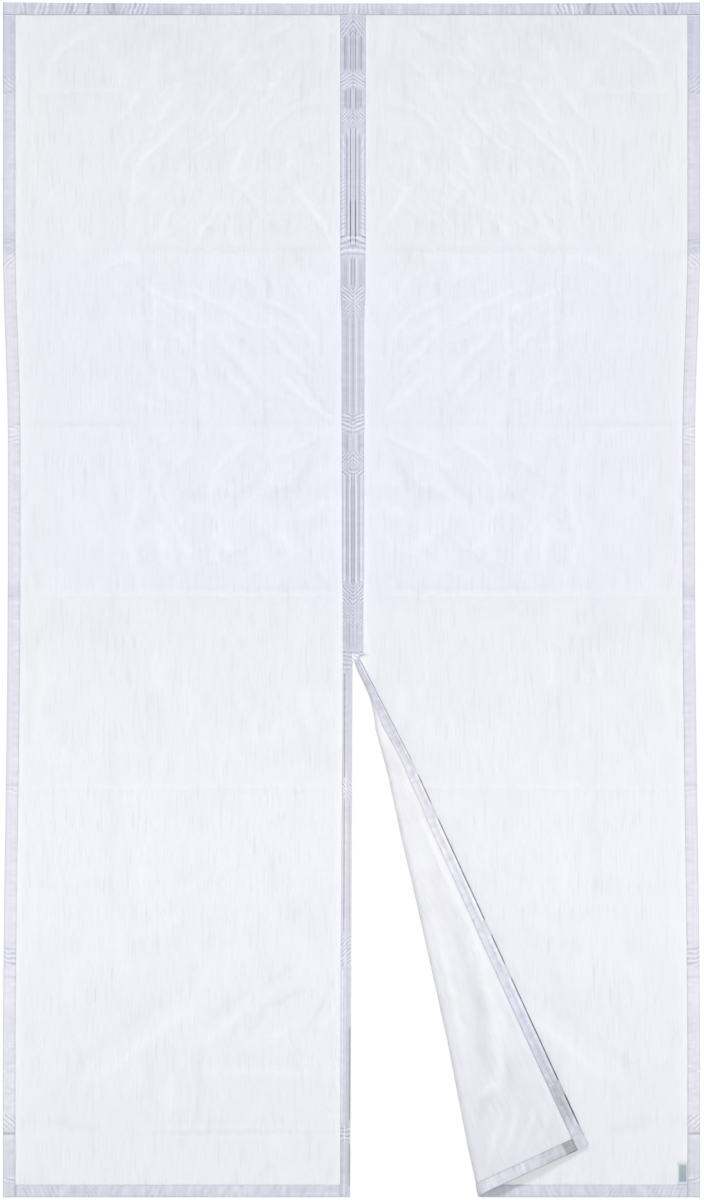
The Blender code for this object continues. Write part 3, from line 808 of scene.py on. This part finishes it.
def make_tape(name, along, section, place, relief, tone):
    """Tape folded round an edge. relief gives how far out it stands and its painted highlight and shade
    there, and place puts a point in the room.
    """
    points, weave, painted_lights, tones = [], [], [], []
    for at in along:
        outline = section(at)
        row = []
        for into, out, face in outline:
            more, crest = relief(into, at, face)
            row.append((place(into, at, out + more * (1 if face >= 0 else -1) * abs(face)), crest))
        around = np.cumsum([0] + [math.dist(a[:2], b[:2]) for a, b in zip(outline, outline[1:])])
        points.append([p for p, _ in row])
        weave.append([(u, at) for u in around])
        painted_lights.append([c for _, c in row])
        tones.append([tone(at, into) for into, _, _ in outline])
    return lay_cloth(name, points, weave, {"crest": painted_lights, "tone": tones}, satin, TAPE)


def sewn(into, at, seed, gather, width=TAPE_WIDTH, fold_line=0.40):
    """The leaf between the fold and the seam: crowned, drawn in at the seam, and puckered beside it."""
    share = into / width
    crown = 0.00025 * math.sin(math.pi * min(share * 1.1, 1.0))
    groove = bell(width - SEAM_IN - into, 0.0012)
    edges = 0.55 * bell(width - into, 0.0014) + fold_line * bell(into, 0.0016)
    ripple = waver(at * 210, into * 30, seed) + 0.6 * waver(at * 95, into * 55, seed + 4)
    near = 0.35 + 0.65 * bell(width - SEAM_IN - into, 0.009)
    # Its second value is painted light: painted shade in the seam's groove and along the fold and inner edge,
    # and painted highlight and shade over the puckers
    return crown - 0.0003 * groove + gather * ripple * near, 0.30 * ripple * near - 0.20 * groove - edges


# How far the puckers rise, and how strongly they are painted lighter and darker
PUCKER_RISE, PUCKER_PAINTED_SHEEN = 0.0008, 1.15


def stretch_of(at, start, end, soft=0.006):
    """1 from start to end, with a short soft step at each."""
    return ease((at - start) / soft) * ease((end - at) / soft)


def puckered(into, at, places, seed):
    """Slanting puckers across a tape, as (start, end, slope, pitch, strength): their rise, and their painted
    highlight and shade.
    """
    out = crest = 0.0
    for start, end, slope, pitch, strength in places:
        zone = stretch_of(at, start, end, 0.008) * strength
        if zone:
            bent = 2.2 * waver(at * 55, into * 70, seed)
            ripple = math.sin((at - slope * into) * 2 * math.pi / pitch + bent)
            ripple *= 0.85 + 0.8 * waver(at * 120, into * 150, seed + 3)
            out += PUCKER_RISE * zone * ripple
            crest += PUCKER_PAINTED_SHEEN * zone * ripple
    return out, crest


def creased(at, places, breadth):
    """A fold pressed across a tape at each of these places."""
    return sum(bell(at - place, breadth) for place in places)


plain = folded_section(TAPE_WIDTH, HALF_LEAF, HALF_LEAF, 15)
tapes = {}


# The top tape's puckers by distance from the middle, as (start, end, slope, pitch, strength), and
# where it is darker, as (place, breadth, depth)
TOP_PUCKERS = [
    (-0.010, 0.052, 0.05, 0.0085, 0.3), (0.405, 0.450, 0.25, 0.0095, 0.8), (0.445, 0.470, 0.15, 0.0080, 0.6),
    (0.466, 0.500, -0.10, 0.0120, 0.35), (0.515, 0.540, 0.20, 0.0110, 0.6), (0.545, 0.585, 0.35, 0.0100, 0.6),
    (0.600, 0.640, 0.20, 0.0110, 0.55), (0.645, 0.668, -0.20, 0.0100, 0.5),
]
TOP_SHADES = [(0.480, 0.014, 0.50), (0.527, 0.005, 0.45), (0.566, 0.010, 0.25), (0.640, 0.014, 0.25)]


def top_relief(into, at, face):
    out, crest = sewn(into, at, 11.0, 0.00016)
    fold, painted_sheen = puckered(into, abs(at), TOP_PUCKERS, 21.0 + (at > 0))
    drawn = waver(at * 150, into * 12, 21.0)
    shade = sum(depth * bell(abs(at) - place, breadth) for place, breadth, depth in TOP_SHADES)
    fine = waver(at * 230, into * 18, 27.0)
    return out + fold + 0.0002 * drawn, crest + painted_sheen + 0.2 * drawn + 0.5 * fine - shade


def top_sag(at):
    """The top edge hangs a little lower between its ends."""
    return between(list(zip(TOP_SAG_AT, TOP_SAG)), abs(at))


def top_place(into, at, out):
    return Vector((at, MID_Y - out, TOP_Z - into - top_sag(at) * max(1 - into / TAPE_WIDTH, 0.0)))


along = np.linspace(-WIDTH / 2, WIDTH / 2, round(WIDTH / LEAF_ROWS) + 1)
tapes["top"] = make_tape("top_tape", along, lambda at: plain, top_place, top_relief,
                         lambda at, into: 0.12 + 0.12 * ease((0.40 - abs(at)) / 0.10)
                         + 0.15 * waver(at * 4, 0, 5))
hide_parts("top_binding")
seams = [lambda at: TAPE_WIDTH - SEAM_IN]
sew("top", THREAD_END - WIDTH / 2, WIDTH / 2 - THREAD_END, seams, top_place, top_relief)

# The side tapes' paleness from top to bottom, which is painted highlight and shade along the satin, and the
# puckers of the bottom and side tapes
SIDE_TONES = [
    (0, 0.02), (0.150, 0.05), (0.185, 0.45), (0.400, 0.55), (0.460, 0.50), (0.470, 0.20), (0.492, 0.20),
    (0.500, 0.60), (0.540, 0.85), (0.830, 0.80), (1.165, 0.75), (1.175, 0.40), (1.195, 0.42), (1.205, 0.72),
    (1.885, 0.95), (1.900, 0.50), (1.930, 0.55), (1.945, 0.95), (2.010, 0.95), (2.030, 0.65),
    (2.235, 0.60), (2.262, 0.35), (2.276, 0.70), (2.290, 0.30), (2.350, 0.12), (2.400, 0.05),
]
HEM_PUCKERS = [
    (0.500, 0.545, 0.70, 0.0095, 0.2), (0.590, 0.665, 0.40, 0.0095, 0.25), (0.312, 0.322, 0.05, 0.0100, 0.5),
    (0.380, 0.420, -0.50, 0.0110, 0.15),
]
SIDE_PUCKERS = [
    (0.142, 0.190, 0.80, 0.0095, 0.4), (0.496, 0.536, -0.90, 0.0100, 0.35), (0.470, 0.500, 0.20, 0.0085, 0.3),
    (0.842, 0.862, 0.10, 0.0090, 0.6), (0.862, 0.892, -0.15, 0.0085, 0.4), (1.575, 1.592, 0.00, 0.0090, 0.4),
    (1.895, 1.940, 0.25, 0.0095, 0.6), (2.230, 2.268, 0.90, 0.0110, 0.6), (2.356, 2.374, 0.30, 0.0085, 0.8),
]
for side, sign in SIDES.items():

    def side_relief(into, at, face):
        out, crest = sewn(into, at, 31.0, 0.00018)
        fold, painted_sheen = puckered(into, at, SIDE_PUCKERS, 44.0)
        line = creased(at, CREASE_DROPS, 0.0022) + 2.0 * creased(at, CREASE_DROPS[-1:], 0.0026)
        specks = max(waver(at * 260, into * 190, 51.0) - 0.15, 0) * stretch_of(at, 2.06, 2.23, 0.02)
        lines = waver(into * 420, at * 4, 47.0) * ease((0.20 - at) / 0.05)
        # The pressed creases are also painted darker, as their shade
        return out + fold - 0.0004 * line, crest + painted_sheen - 0.40 * line + 0.8 * specks + 0.35 * lines

    def side_place(into, at, out):
        return Vector((sign * (WIDTH / 2 - side_pull(at) - into), MID_Y - out, TOP_Z - at))

    along = np.linspace(TAPE_WIDTH + CLEARANCE, DROP, round(DROP / LEAF_ROWS) + 1)
    tapes[side] = make_tape(f"{side}_tape", along, lambda at: plain, side_place, side_relief,
                            lambda at, into: between(SIDE_TONES, at))
    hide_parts(f"{side}_side_binding")
    sew(side, along[0] + THREAD_END, DROP - THREAD_END, seams, side_place, side_relief)

    last = PANEL_WIDTH[side] - TAPE_WIDTH - CLEARANCE
    steps = round(last / LEAF_ROWS) + 1
    bend = fold_ends(side, DROP - TAPE_WIDTH)[0] if side == "right" else 0.0

    def hem_relief(into, at, face):
        out, crest = sewn(into, at, 57.0, 0.00018)
        fold, painted_sheen = puckered(into, at, HEM_PUCKERS, 61.0)
        drawn = waver(at * 120 + into * 30, into * 40, 61.0)
        # On the folded corner the hem's painted light and shade are stronger, with painted shade along its
        # fold, and it is darker towards its end at the free edge
        if at < bend:
            crest *= 1.4
            painted_sheen -= 0.8 * ease((0.052 - at) / 0.008) + 0.45 * ease((0.100 - at) / 0.010)
            painted_sheen -= 0.5 * bell(into, 0.0015)
        return out + fold + 0.0002 * drawn, crest + painted_sheen + 0.45 * drawn

    def hem_place(into, at, out):
        point, front = cloth_frame(side, at, DROP - into)
        return point + front * out

    along = np.linspace(TAPE_WIDTH + CLEARANCE, last, steps)
    tapes[side + " hem"] = make_tape(f"{side}_hem_tape", along, lambda at: plain, hem_place, hem_relief,
                                     lambda at, into: 0.02 + 0.15 * waver(at * 6, 0, 9)
                                     + 0.28 * (at < bend))
    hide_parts(f"{side}_bottom_binding")
    sew(side + "_hem", along[0] + THREAD_END, last - THREAD_END, seams, hem_place, hem_relief)


# The two middle tapes: wider in the fold, with a pocket sewn round each bar magnet.
# The magnets hold the tapes edge to edge above the opening. Between the magnets the
# tape is gathered, and it puckers in slanting folds that mirror each other.

# Where it puckers between the magnets: (top, bottom, slope, pitch in metres, strength). A plus
# slope falls away from the seam, as in a roof, and a minus slope rises.
PUCKERS = [
    (0.026, 0.072, 1.30, 0.0100, 0.5), (0.138, 0.174, 0.65, 0.0078, 0.6), (0.216, 0.246, 0.95, 0.0078, 0.6),
    (0.462, 0.512, 0.25, 0.0130, 0.6), (0.566, 0.602, -0.85, 0.0078, 0.6), (0.602, 0.632, 0.85, 0.0080, 0.4),
    (0.822, 0.868, -0.35, 0.0085, 0.6), (0.900, 0.930, 0.90, 0.0078, 0.6), (0.930, 0.956, -0.55, 0.0088, 0.5),
    (1.150, 1.166, 0.60, 0.0076, 0.5), (1.166, 1.214, -0.80, 0.0078, 0.6), (1.214, 1.262, -1.10, 0.0078, 0.4),
    (1.296, 1.345, -0.10, 0.0085, 0.5), (1.560, 1.600, -0.95, 0.0078, 0.6), (1.870, 1.938, 0.75, 0.0082, 0.5),
    (2.255, 2.292, 0.10, 0.0085, 0.6),
]
# Lines along it, as (top, bottom, distance from its fold, breadth, depth): each a groove painted darker, as
# its shade. Minus is a raised line painted paler, as a highlight
LINES = [
    (0.052, 0.14, 0.005, 0.0014, 0.9), (0.066, 0.14, 0.0158, 0.0016, 0.8),
    (0.066, 0.14, 0.011, 0.004, 0.25), (0.066, 0.14, 0.0078, 0.0013, -0.4),
    (0.17, 0.218, 0.005, 0.0014, 0.9), (0.174, 0.214, 0.015, 0.0017, 0.7), (0.17, 0.218, 0.01, 0.004, 0.25),
    (0.17, 0.218, 0.0008, 0.0013, -0.4), (0.25, 0.49, 0.005, 0.0014, 1.1),
    (0.395, 0.475, 0.005, 0.0014, 0.7), (0.25, 0.48, 0.0078, 0.0012, -0.7),
    (0.25, 0.49, 0.002, 0.0012, -0.5), (0.262, 0.47, 0.0125, 0.004, 0.4),
    (0.262, 0.47, 0.0185, 0.0018, -0.4), (0.512, 0.572, 0.0028, 0.0013, 1),
    (0.512, 0.572, 0.0055, 0.0013, -0.5), (0.52, 0.575, 0.015, 0.004, 0.3),
    (0.632, 0.828, 0.0052, 0.0014, -0.4), (0.632, 0.828, 0.0105, 0.004, 0.16),
    (0.632, 0.828, 0.0008, 0.0018, 0.12), (0.866, 0.905, 0.0045, 0.0014, -0.5),
    (0.866, 0.905, 0.012, 0.0045, 0.3), (0.946, 1.17, 0.0042, 0.0013, -0.8),
    (0.946, 1.17, 0.0008, 0.0014, 0.7), (0.946, 1.17, 0.0115, 0.0035, 0.3),
    (0.95, 1.165, 0.0175, 0.0018, -0.5), (1.245, 1.3, 0.006, 0.0014, 0.4),
]
SEAM_WIDTHS = [(0.45, 0.0250), (0.56, 0.0240), (0.66, 0.0222), (0.82, 0.0222), (0.88, 0.0230), (1.15, 0.0230),
               (1.19, 0.0212)]
MIDDLE_WIDTHS = {
    "left": SEAM_WIDTHS + [(1.45, 0.0208), (1.53, 0.0212), (1.70, 0.0223), (1.90, 0.0235), (2.40, 0.0237)],
    "right": SEAM_WIDTHS + [(1.31, 0.0212), (1.60, 0.0230), (1.95, 0.0250)],
}
LINES_OPEN = {
    "left": [(1.345, 2.400, 0.0130, 0.0016, -0.7), (1.345, 1.560, 0.0165, 0.0014, 0.9),
             (1.600, 1.870, 0.0168, 0.0014, 0.8), (1.600, 1.870, 0.0030, 0.0014, 0.4),
             (1.940, 2.255, 0.0195, 0.0018, -0.7), (2.055, 2.250, 0.0016, 0.0013, 1.0),
             (2.290, 2.380, 0.0016, 0.0013, 0.9)],
    "right": [],
}
# Their paleness above the opening and beside it, which is painted highlight and shade along the satin, and
# the painted shade low on the folded corner's tape
SEAM_TONES = [
    (0, 0.05), (0.12, 0.05), (0.15, 0.18), (0.25, 0.22), (0.60, 0.28), (1.15, 0.28), (1.2, 0.20), (1.3, 0.22),
]
OPEN_TONES = {
    "left": [(APEX_DROP, 0.35), (1.40, 0.62), (1.70, 1.00), (2.00, 0.50), (2.20, 0.12), (2.40, -0.05)],
    "right": [(APEX_DROP, 0.35), (1.45, 0.50), (1.56, 0.90), (1.78, 0.82), (1.90, 0.66), (2.00, 0.42),
              (2.10, 0.12), (2.20, 0), (2.40, 0)],
}
FLAP_SHADES = [(2.12, 0), (2.22, 0.20), (2.29, 0.70), (2.33, 0.70), (2.35, 0.15), (2.40, 0.20)]
FINE_ROW, PLAIN_ROW = 0.0016, 0.0060
# How deep the lines are and how strongly they are painted darker, and the ticks' pitch, rise and painted
# highlight and shade
LINE_DEPTH, LINE_PAINTED_SHADE = 0.0005, 1.35
TICK_PITCH, TICK_RISE, TICK_PAINTED_SHEEN = 0.0080, 0.0004, 0.45


def magnet_near(drop):
    """1 along a magnet and 0 where the tape is sewn flat, with the pocket's short ramps between."""
    best = 0.0
    for start, end in MAGNET_SPANS:
        outside = max(start - CLEARANCE - drop, drop - end - CLEARANCE, 0)
        best = max(best, 1 - min(outside / (POCKET_RAMP - CLEARANCE), 1))
    return ease(best)


def middle_tape(side):
    columns, hidden = (34, 14) if side == "left" else (26, 26)

    def section(at):
        swell = magnet_near(at)
        wide = between(MIDDLE_WIDTHS[side], at)
        leaf = mix(HALF_LEAF, POCKET_LEAF, swell)
        radius = mix(HALF_LEAF, POCKET_EDGE, swell)
        angle = tape_state(side, at)[1]
        reach = 0.0014 * math.sin(angle) / math.sin(math.radians(35)) if at < APEX_DROP else 0.0
        inner = [(into, mix(HALF_LEAF, leaf, ease((POCKET_END - into) / (POCKET_EDGE - CLEARANCE))))
                 for into in np.linspace(wide, radius + TAPE / 2, columns)]
        kept = sorted({round(j) for j in np.linspace(0, columns - 1, hidden)}, reverse=True)
        turn = np.linspace(0, math.pi, 11)[1:-1]
        fold = [(TAPE / 2 + radius - (radius + reach) * math.sin(a), leaf * math.cos(a), math.cos(a))
                for a in turn]
        return [(a, b, 1) for a, b in inner] + fold + [(inner[i][0], -inner[i][1], -1) for i in kept]

    def relief(into, at, face):
        out, crest = sewn(into, at, 71.0, 0.00014, between(MIDDLE_WIDTHS[side], at), 0.15)
        if face > -0.5:
            fold, painted_sheen = puckered(into, at, PUCKERS, 3.0)
            out, crest = out + fold, crest + painted_sheen
        if face > -0.5 or at > APEX_DROP:
            for top, bottom, place, breadth, depth in LINES + (LINES_OPEN[side] if at > APEX_DROP else []):
                line = stretch_of(at, top, bottom) * depth * bell(into - place, breadth)
                out -= LINE_DEPTH * line
                crest -= LINE_PAINTED_SHADE * line
        ticks = stretch_of(at, 0.330, 0.512, 0.03) + 0.6 * stretch_of(at, 0.250, 0.330, 0.03)
        if ticks:
            ticks *= ease((into - 0.0150) / 0.002) * ease((0.0240 - into) / 0.002)
            bent = 2 * waver(at * 40, into * 40, 9.0)
            ripple = math.sin((at - 0.8 * into) * 2 * math.pi / TICK_PITCH + bent)
            out += TICK_RISE * ticks * ripple
            crest += TICK_PAINTED_SHEEN * ticks * ripple
        if side == "right" and at > APEX_DROP + TWIST_START:
            # On the folded corner: a painted shadow line along the magnets' free edge and another along the
            # pocket's inner side, painted shade low down, painted highlights on the pocket, along the tape's
            # inner edge and just below the twist, and random mottle
            swell = magnet_near(at)
            steep = max(math.sin(tape_state(side, at)[1] - math.pi), 0.0)
            shade = between(FLAP_SHADES, at)
            apart = into - 0.0010 - 0.0030 * steep
            rim = bell(max(apart, 0.0) - min(apart, 0.0) * steep, 0.0014)
            crest -= (0.4 + 1.8 * swell) * rim + shade
            crest += swell * 0.6 * bell(apart - 0.0040, 0.0020)
            crest -= (0.20 * swell + 0.4 * steep) * bell(into - 0.0135, 0.0015)
            crest += (0.15 + 0.2 * steep) * bell(into - 0.0215, 0.0030)
            crest += 1.2 * ease((APEX_DROP + TWIST_START + TWIST_LENGTH + 0.004 - at) / 0.006)
            mottle = waver(at * 90, into * 90, 12.0)
            crest += 0.5 * mottle
            out += 0.0003 * mottle * (1 - swell)
        return out, crest

    def place(into, at, out):
        point, front = cloth_frame(side, into, at)
        return point + front * out

    def tone(at, into):
        if at < APEX_DROP:
            return between(SEAM_TONES, at) + 0.10 * waver(at * 9, into * 40, 2)
        return between(OPEN_TONES[side], at)

    along = [TAPE_WIDTH + CLEARANCE]
    while along[-1] < DROP:
        at = along[-1]
        fine = 0.310 < at < 0.512 or any(top - 0.004 < at < bottom + 0.004 for top, bottom, *_ in PUCKERS)
        along.append(min(at + (FINE_ROW if fine else PLAIN_ROW), DROP))
    if side == "right":
        turn = np.linspace(APEX_DROP + TWIST_START, APEX_DROP + TWIST_START + TWIST_LENGTH, 10)
        along = sorted([at for at in along if not turn[0] - 0.0005 < at < turn[-1] + 0.0005] + list(turn))
    seams = [lambda at: between(MIDDLE_WIDTHS[side], at) - SEAM_IN, lambda at: POCKET_END + 0.0010]
    sew(side + "_middle", along[0] + THREAD_END, DROP - THREAD_END, seams, place, relief)
    return make_tape(f"{side}_middle_tape", along, section, place, relief, tone)


for side in SIDES:
    tapes[side + " middle"] = middle_tape(side)
    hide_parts(f"{side}_centre_binding")


# The bar magnets: flexible rubber bars inside the pockets, dark grey and matt.

magnet = Finish("rubber_magnet")
grain = magnet.add("ShaderNodeTexNoise", {}, {"Vector": magnet.place(), "Scale": 900.0, "Detail": 3.0})
grey = magnet.colour(grain, (0.035, 0.034, 0.036, 1), (0.055, 0.054, 0.057, 1))
magnet.surface({
    "Base Color": magnet.shaded(grey, grain * 0.2 + 0.9), "Roughness": 0.55 + grain * 0.2,
    "Normal": magnet.relief(grain, 0.0002),
})
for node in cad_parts:
    if "magnet" in node:
        bar = bpy.data.objects[node]
        for slot in bar.material_slots:
            slot.material = magnet.material


# The loop tapes: 20 mm of looped pile sewn to the back of the top and side tapes. They
# press on to hook tape stuck round the door frame.

pile = Finish("loop_pile")
loops = pile.add("ShaderNodeTexVoronoi", {}, {"Vector": pile.place(), "Scale": 1100.0}, output=0)
clumps = pile.add("ShaderNodeTexNoise", {}, {"Vector": pile.place(), "Scale": 260.0, "Detail": 3.0})
fuzzy = pile.colour(clumps, (0.68, 0.68, 0.72, 1), (0.80, 0.80, 0.83, 1))
pile.surface({
    "Base Color": pile.shaded(fuzzy, 1.04 - loops * 0.12), "Roughness": 0.85 + clumps * 0.1,
    "Normal": pile.relief(loops * 0.6 + clumps * 0.4, 0.0006), "Sheen Weight": 0.3,
})
LOOP_WIDTH = 0.020
LOOP_END_MARGIN = 0.004


def loop_tape(name, along, place):
    """A closed strip of pile: flat to the tape in front, fuzzy and rounded behind."""
    around = [(0.02, 0.0), (0.0, 0.5), (0.03, 0.92), (0.15, 1.0), (0.32, 1.0), (0.5, 1.0), (0.68, 1.0),
              (0.85, 1.0), (0.97, 0.92), (1.0, 0.5), (0.98, 0.0), (0.5, 0.0), (0.02, 0.0)]
    points = []
    for at in along:
        row = []
        for across, out in around:
            fuzz = waver(across * 9, at * 300, 2.0) * 0.00012 * out
            row.append(place(across * LOOP_WIDTH, at, (1 - out) * LOOP_THICKNESS - fuzz))
        points.append(row)
    weave = np.zeros((len(along), len(around), 2))
    strip = lay_cloth(name, points, weave, {}, pile.material)
    bpy.ops.object.mode_set(mode="EDIT")
    bpy.ops.mesh.select_all(action="SELECT")
    bpy.ops.mesh.remove_doubles(threshold=1e-6)
    bpy.ops.mesh.select_all(action="DESELECT")
    bpy.ops.mesh.select_non_manifold(extend=False)
    bpy.ops.mesh.fill_holes(sides=0)
    bpy.ops.mesh.select_all(action="SELECT")
    bpy.ops.mesh.normals_make_consistent(inside=False)
    bpy.ops.object.mode_set(mode="OBJECT")
    return strip


tapes["top loop"] = loop_tape(
    "top_loop_strip",
    np.linspace(-WIDTH / 2 + LOOP_END_MARGIN, WIDTH / 2 - LOOP_END_MARGIN, 280),
    lambda across, at, out: Vector((at, -out, LOOP_WIDTH / 2 - across)),
)
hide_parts("top_loop_tape")
for side, sign in SIDES.items():
    first = TAPE_WIDTH / 2 + LOOP_WIDTH / 2 + CLEARANCE
    margin = (TAPE_WIDTH - LOOP_WIDTH) / 2

    def strip_place(across, at, out):
        return Vector((sign * (WIDTH / 2 - side_pull(at) - margin - across), -out, TOP_Z - at))

    along = np.linspace(first, DROP - LOOP_END_MARGIN, 480)
    tapes[side + " loop"] = loop_tape(f"{side}_loop_strip", along, strip_place)
    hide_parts(f"{side}_loop_tape")


# The label: a short woven ribbon sewn flat in the lower right corner, plain but for a
# soft green and blue shade.

LABEL_WIDTH = 0.019
LABEL_HEIGHT = 0.047
LABEL_THICKNESS = 0.0003
NETTING = 0.0004
ribbon = Finish("ribbon")
across, height = ribbon.place(0), ribbon.place(2)
low, right = TOP_Z - DROP + TAPE_WIDTH, WIDTH / 2 - TAPE_WIDTH - CLEARANCE
high, left = low + LABEL_HEIGHT, right - LABEL_WIDTH
ribs = ribbon.threads(0.0200, 0.0007)
shade = ribbon.ranged(height, low + 0.012, high - 0.012)
shade = ribbon.colour(shade, (0.29, 0.36, 0.42, 1), (0.33, 0.41, 0.38, 1))
hem = ribbon.ranged(height, low + 0.008, low + 0.003) + ribbon.ranged(height, high - 0.009, high - 0.004)
hem = hem + ribbon.ranged(across, left + 0.003, left + 0.001)
hem = hem + ribbon.ranged(across, right - 0.003, right - 0.001)
shade = ribbon.colour(hem, shade, (0.66, 0.67, 0.72, 1))
ribbon.surface({
    "Base Color": ribbon.shaded(shade, 0.95 + ribs * 0.1), "Roughness": 0.55,
    "Normal": ribbon.relief(ribs, 0.0002), "Sheen Weight": 0.2,
})
out = NETTING / 2 + CLEARANCE + LABEL_THICKNESS / 2
points, weave = [], []
for v in np.linspace(0, 1, 25):
    curl = 0.0012 * v**2 + 0.0003 * math.sin(v * 7)
    points.append([Vector((right - LABEL_WIDTH * (1 - u), MID_Y - out - curl * (0.6 + 0.4 * math.cos(u * 3)),
                           low + CLEARANCE + LABEL_HEIGHT * v)) for u in np.linspace(0, 1, 11)])
    weave.append([(LABEL_WIDTH * u, LABEL_HEIGHT * v) for u in np.linspace(0, 1, 11)])
label = lay_cloth("ribbon_label", points, weave, {}, ribbon.material, LABEL_THICKNESS)
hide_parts("corner_label")

hung = {side: [tapes[side + part] for part in ("", " hem", " middle", " loop")] for side in SIDES}
sewn_on = {side: stitches[side] + stitches[side + "_hem"] + stitches[side + "_middle"] for side in SIDES}
[tapes["top"], tapes["top loop"]] + hung["left"] + stitches["top"] + sewn_on["left"]
hung["right"] + [label] + sewn_on["right"]


# The studio: a pale floor just below the hem, white all round, and soft even light
# from above and in front. The camera looks straight on, with no perspective.

FLOOR_SIZE = 14
FLOOR_GAP = 0.02
VIEW_MIDDLE = (0.001, -6, -1.188)
VIEW_HEIGHT = 2.410

bpy.ops.object.select_all(action="DESELECT")
bpy.ops.mesh.primitive_plane_add(size=FLOOR_SIZE, location=(0, 0, TOP_Z - DROP - FLOOR_GAP))
floor = bpy.context.object
floor.name = "floor"
paving = Finish("floor")
paving.surface({"Base Color": (0.90, 0.90, 0.90, 1), "Roughness": 0.9})
floor.data.materials.append(paving.material)

white = Finish("white", bpy.data.worlds)
bpy.context.scene.world = white.material
rays = [white.add("ShaderNodeLightPath", {}, {}, output=k) for k in (0, 3, 6)]
shown = white.add("ShaderNodeMath", {"operation": "MAXIMUM"}, {0: rays[0], 1: rays[1]})
shown = white.add("ShaderNodeMath", {"operation": "MAXIMUM"}, {0: shown, 1: rays[2]})
soft = white.add("ShaderNodeBackground", {}, {"Color": (0.98, 0.985, 1.0, 1), "Strength": 0.33})
plain_white = white.add("ShaderNodeBackground", {}, {"Color": (1, 1, 1, 1), "Strength": 1.0})
either = white.add("ShaderNodeMixShader", {}, {0: shown, 1: soft, 2: plain_white})
white.add("ShaderNodeOutputWorld", {}, {"Surface": either})

for name, azimuth, elevation, strength, softness in (
    ("key", 4, 52, 1.90, 12),
    ("front", 20, 12, 0.45, 50),
    ("back", 180, 45, 0.9, 40),
):
    bpy.ops.object.light_add(type="SUN", location=(0, -3, 2))
    lamp = bpy.context.object
    lamp.name = name
    lamp.data.energy = strength
    lamp.data.angle = math.radians(softness)
    a, e = math.radians(azimuth), math.radians(elevation)
    toward = Vector((math.sin(a) * math.cos(e), -math.cos(a) * math.cos(e), math.sin(e)))
    lamp.rotation_euler = toward.to_track_quat("Z", "Y").to_euler()

bpy.ops.object.camera_add(location=VIEW_MIDDLE, rotation=(math.pi / 2, 0, 0))
camera = bpy.context.object
camera.data.type = "ORTHO"
camera.data.ortho_scale = VIEW_HEIGHT
camera.data.clip_end = 30
bpy.context.scene.camera = camera
bpy.context.scene.view_settings.view_transform = "Standard"
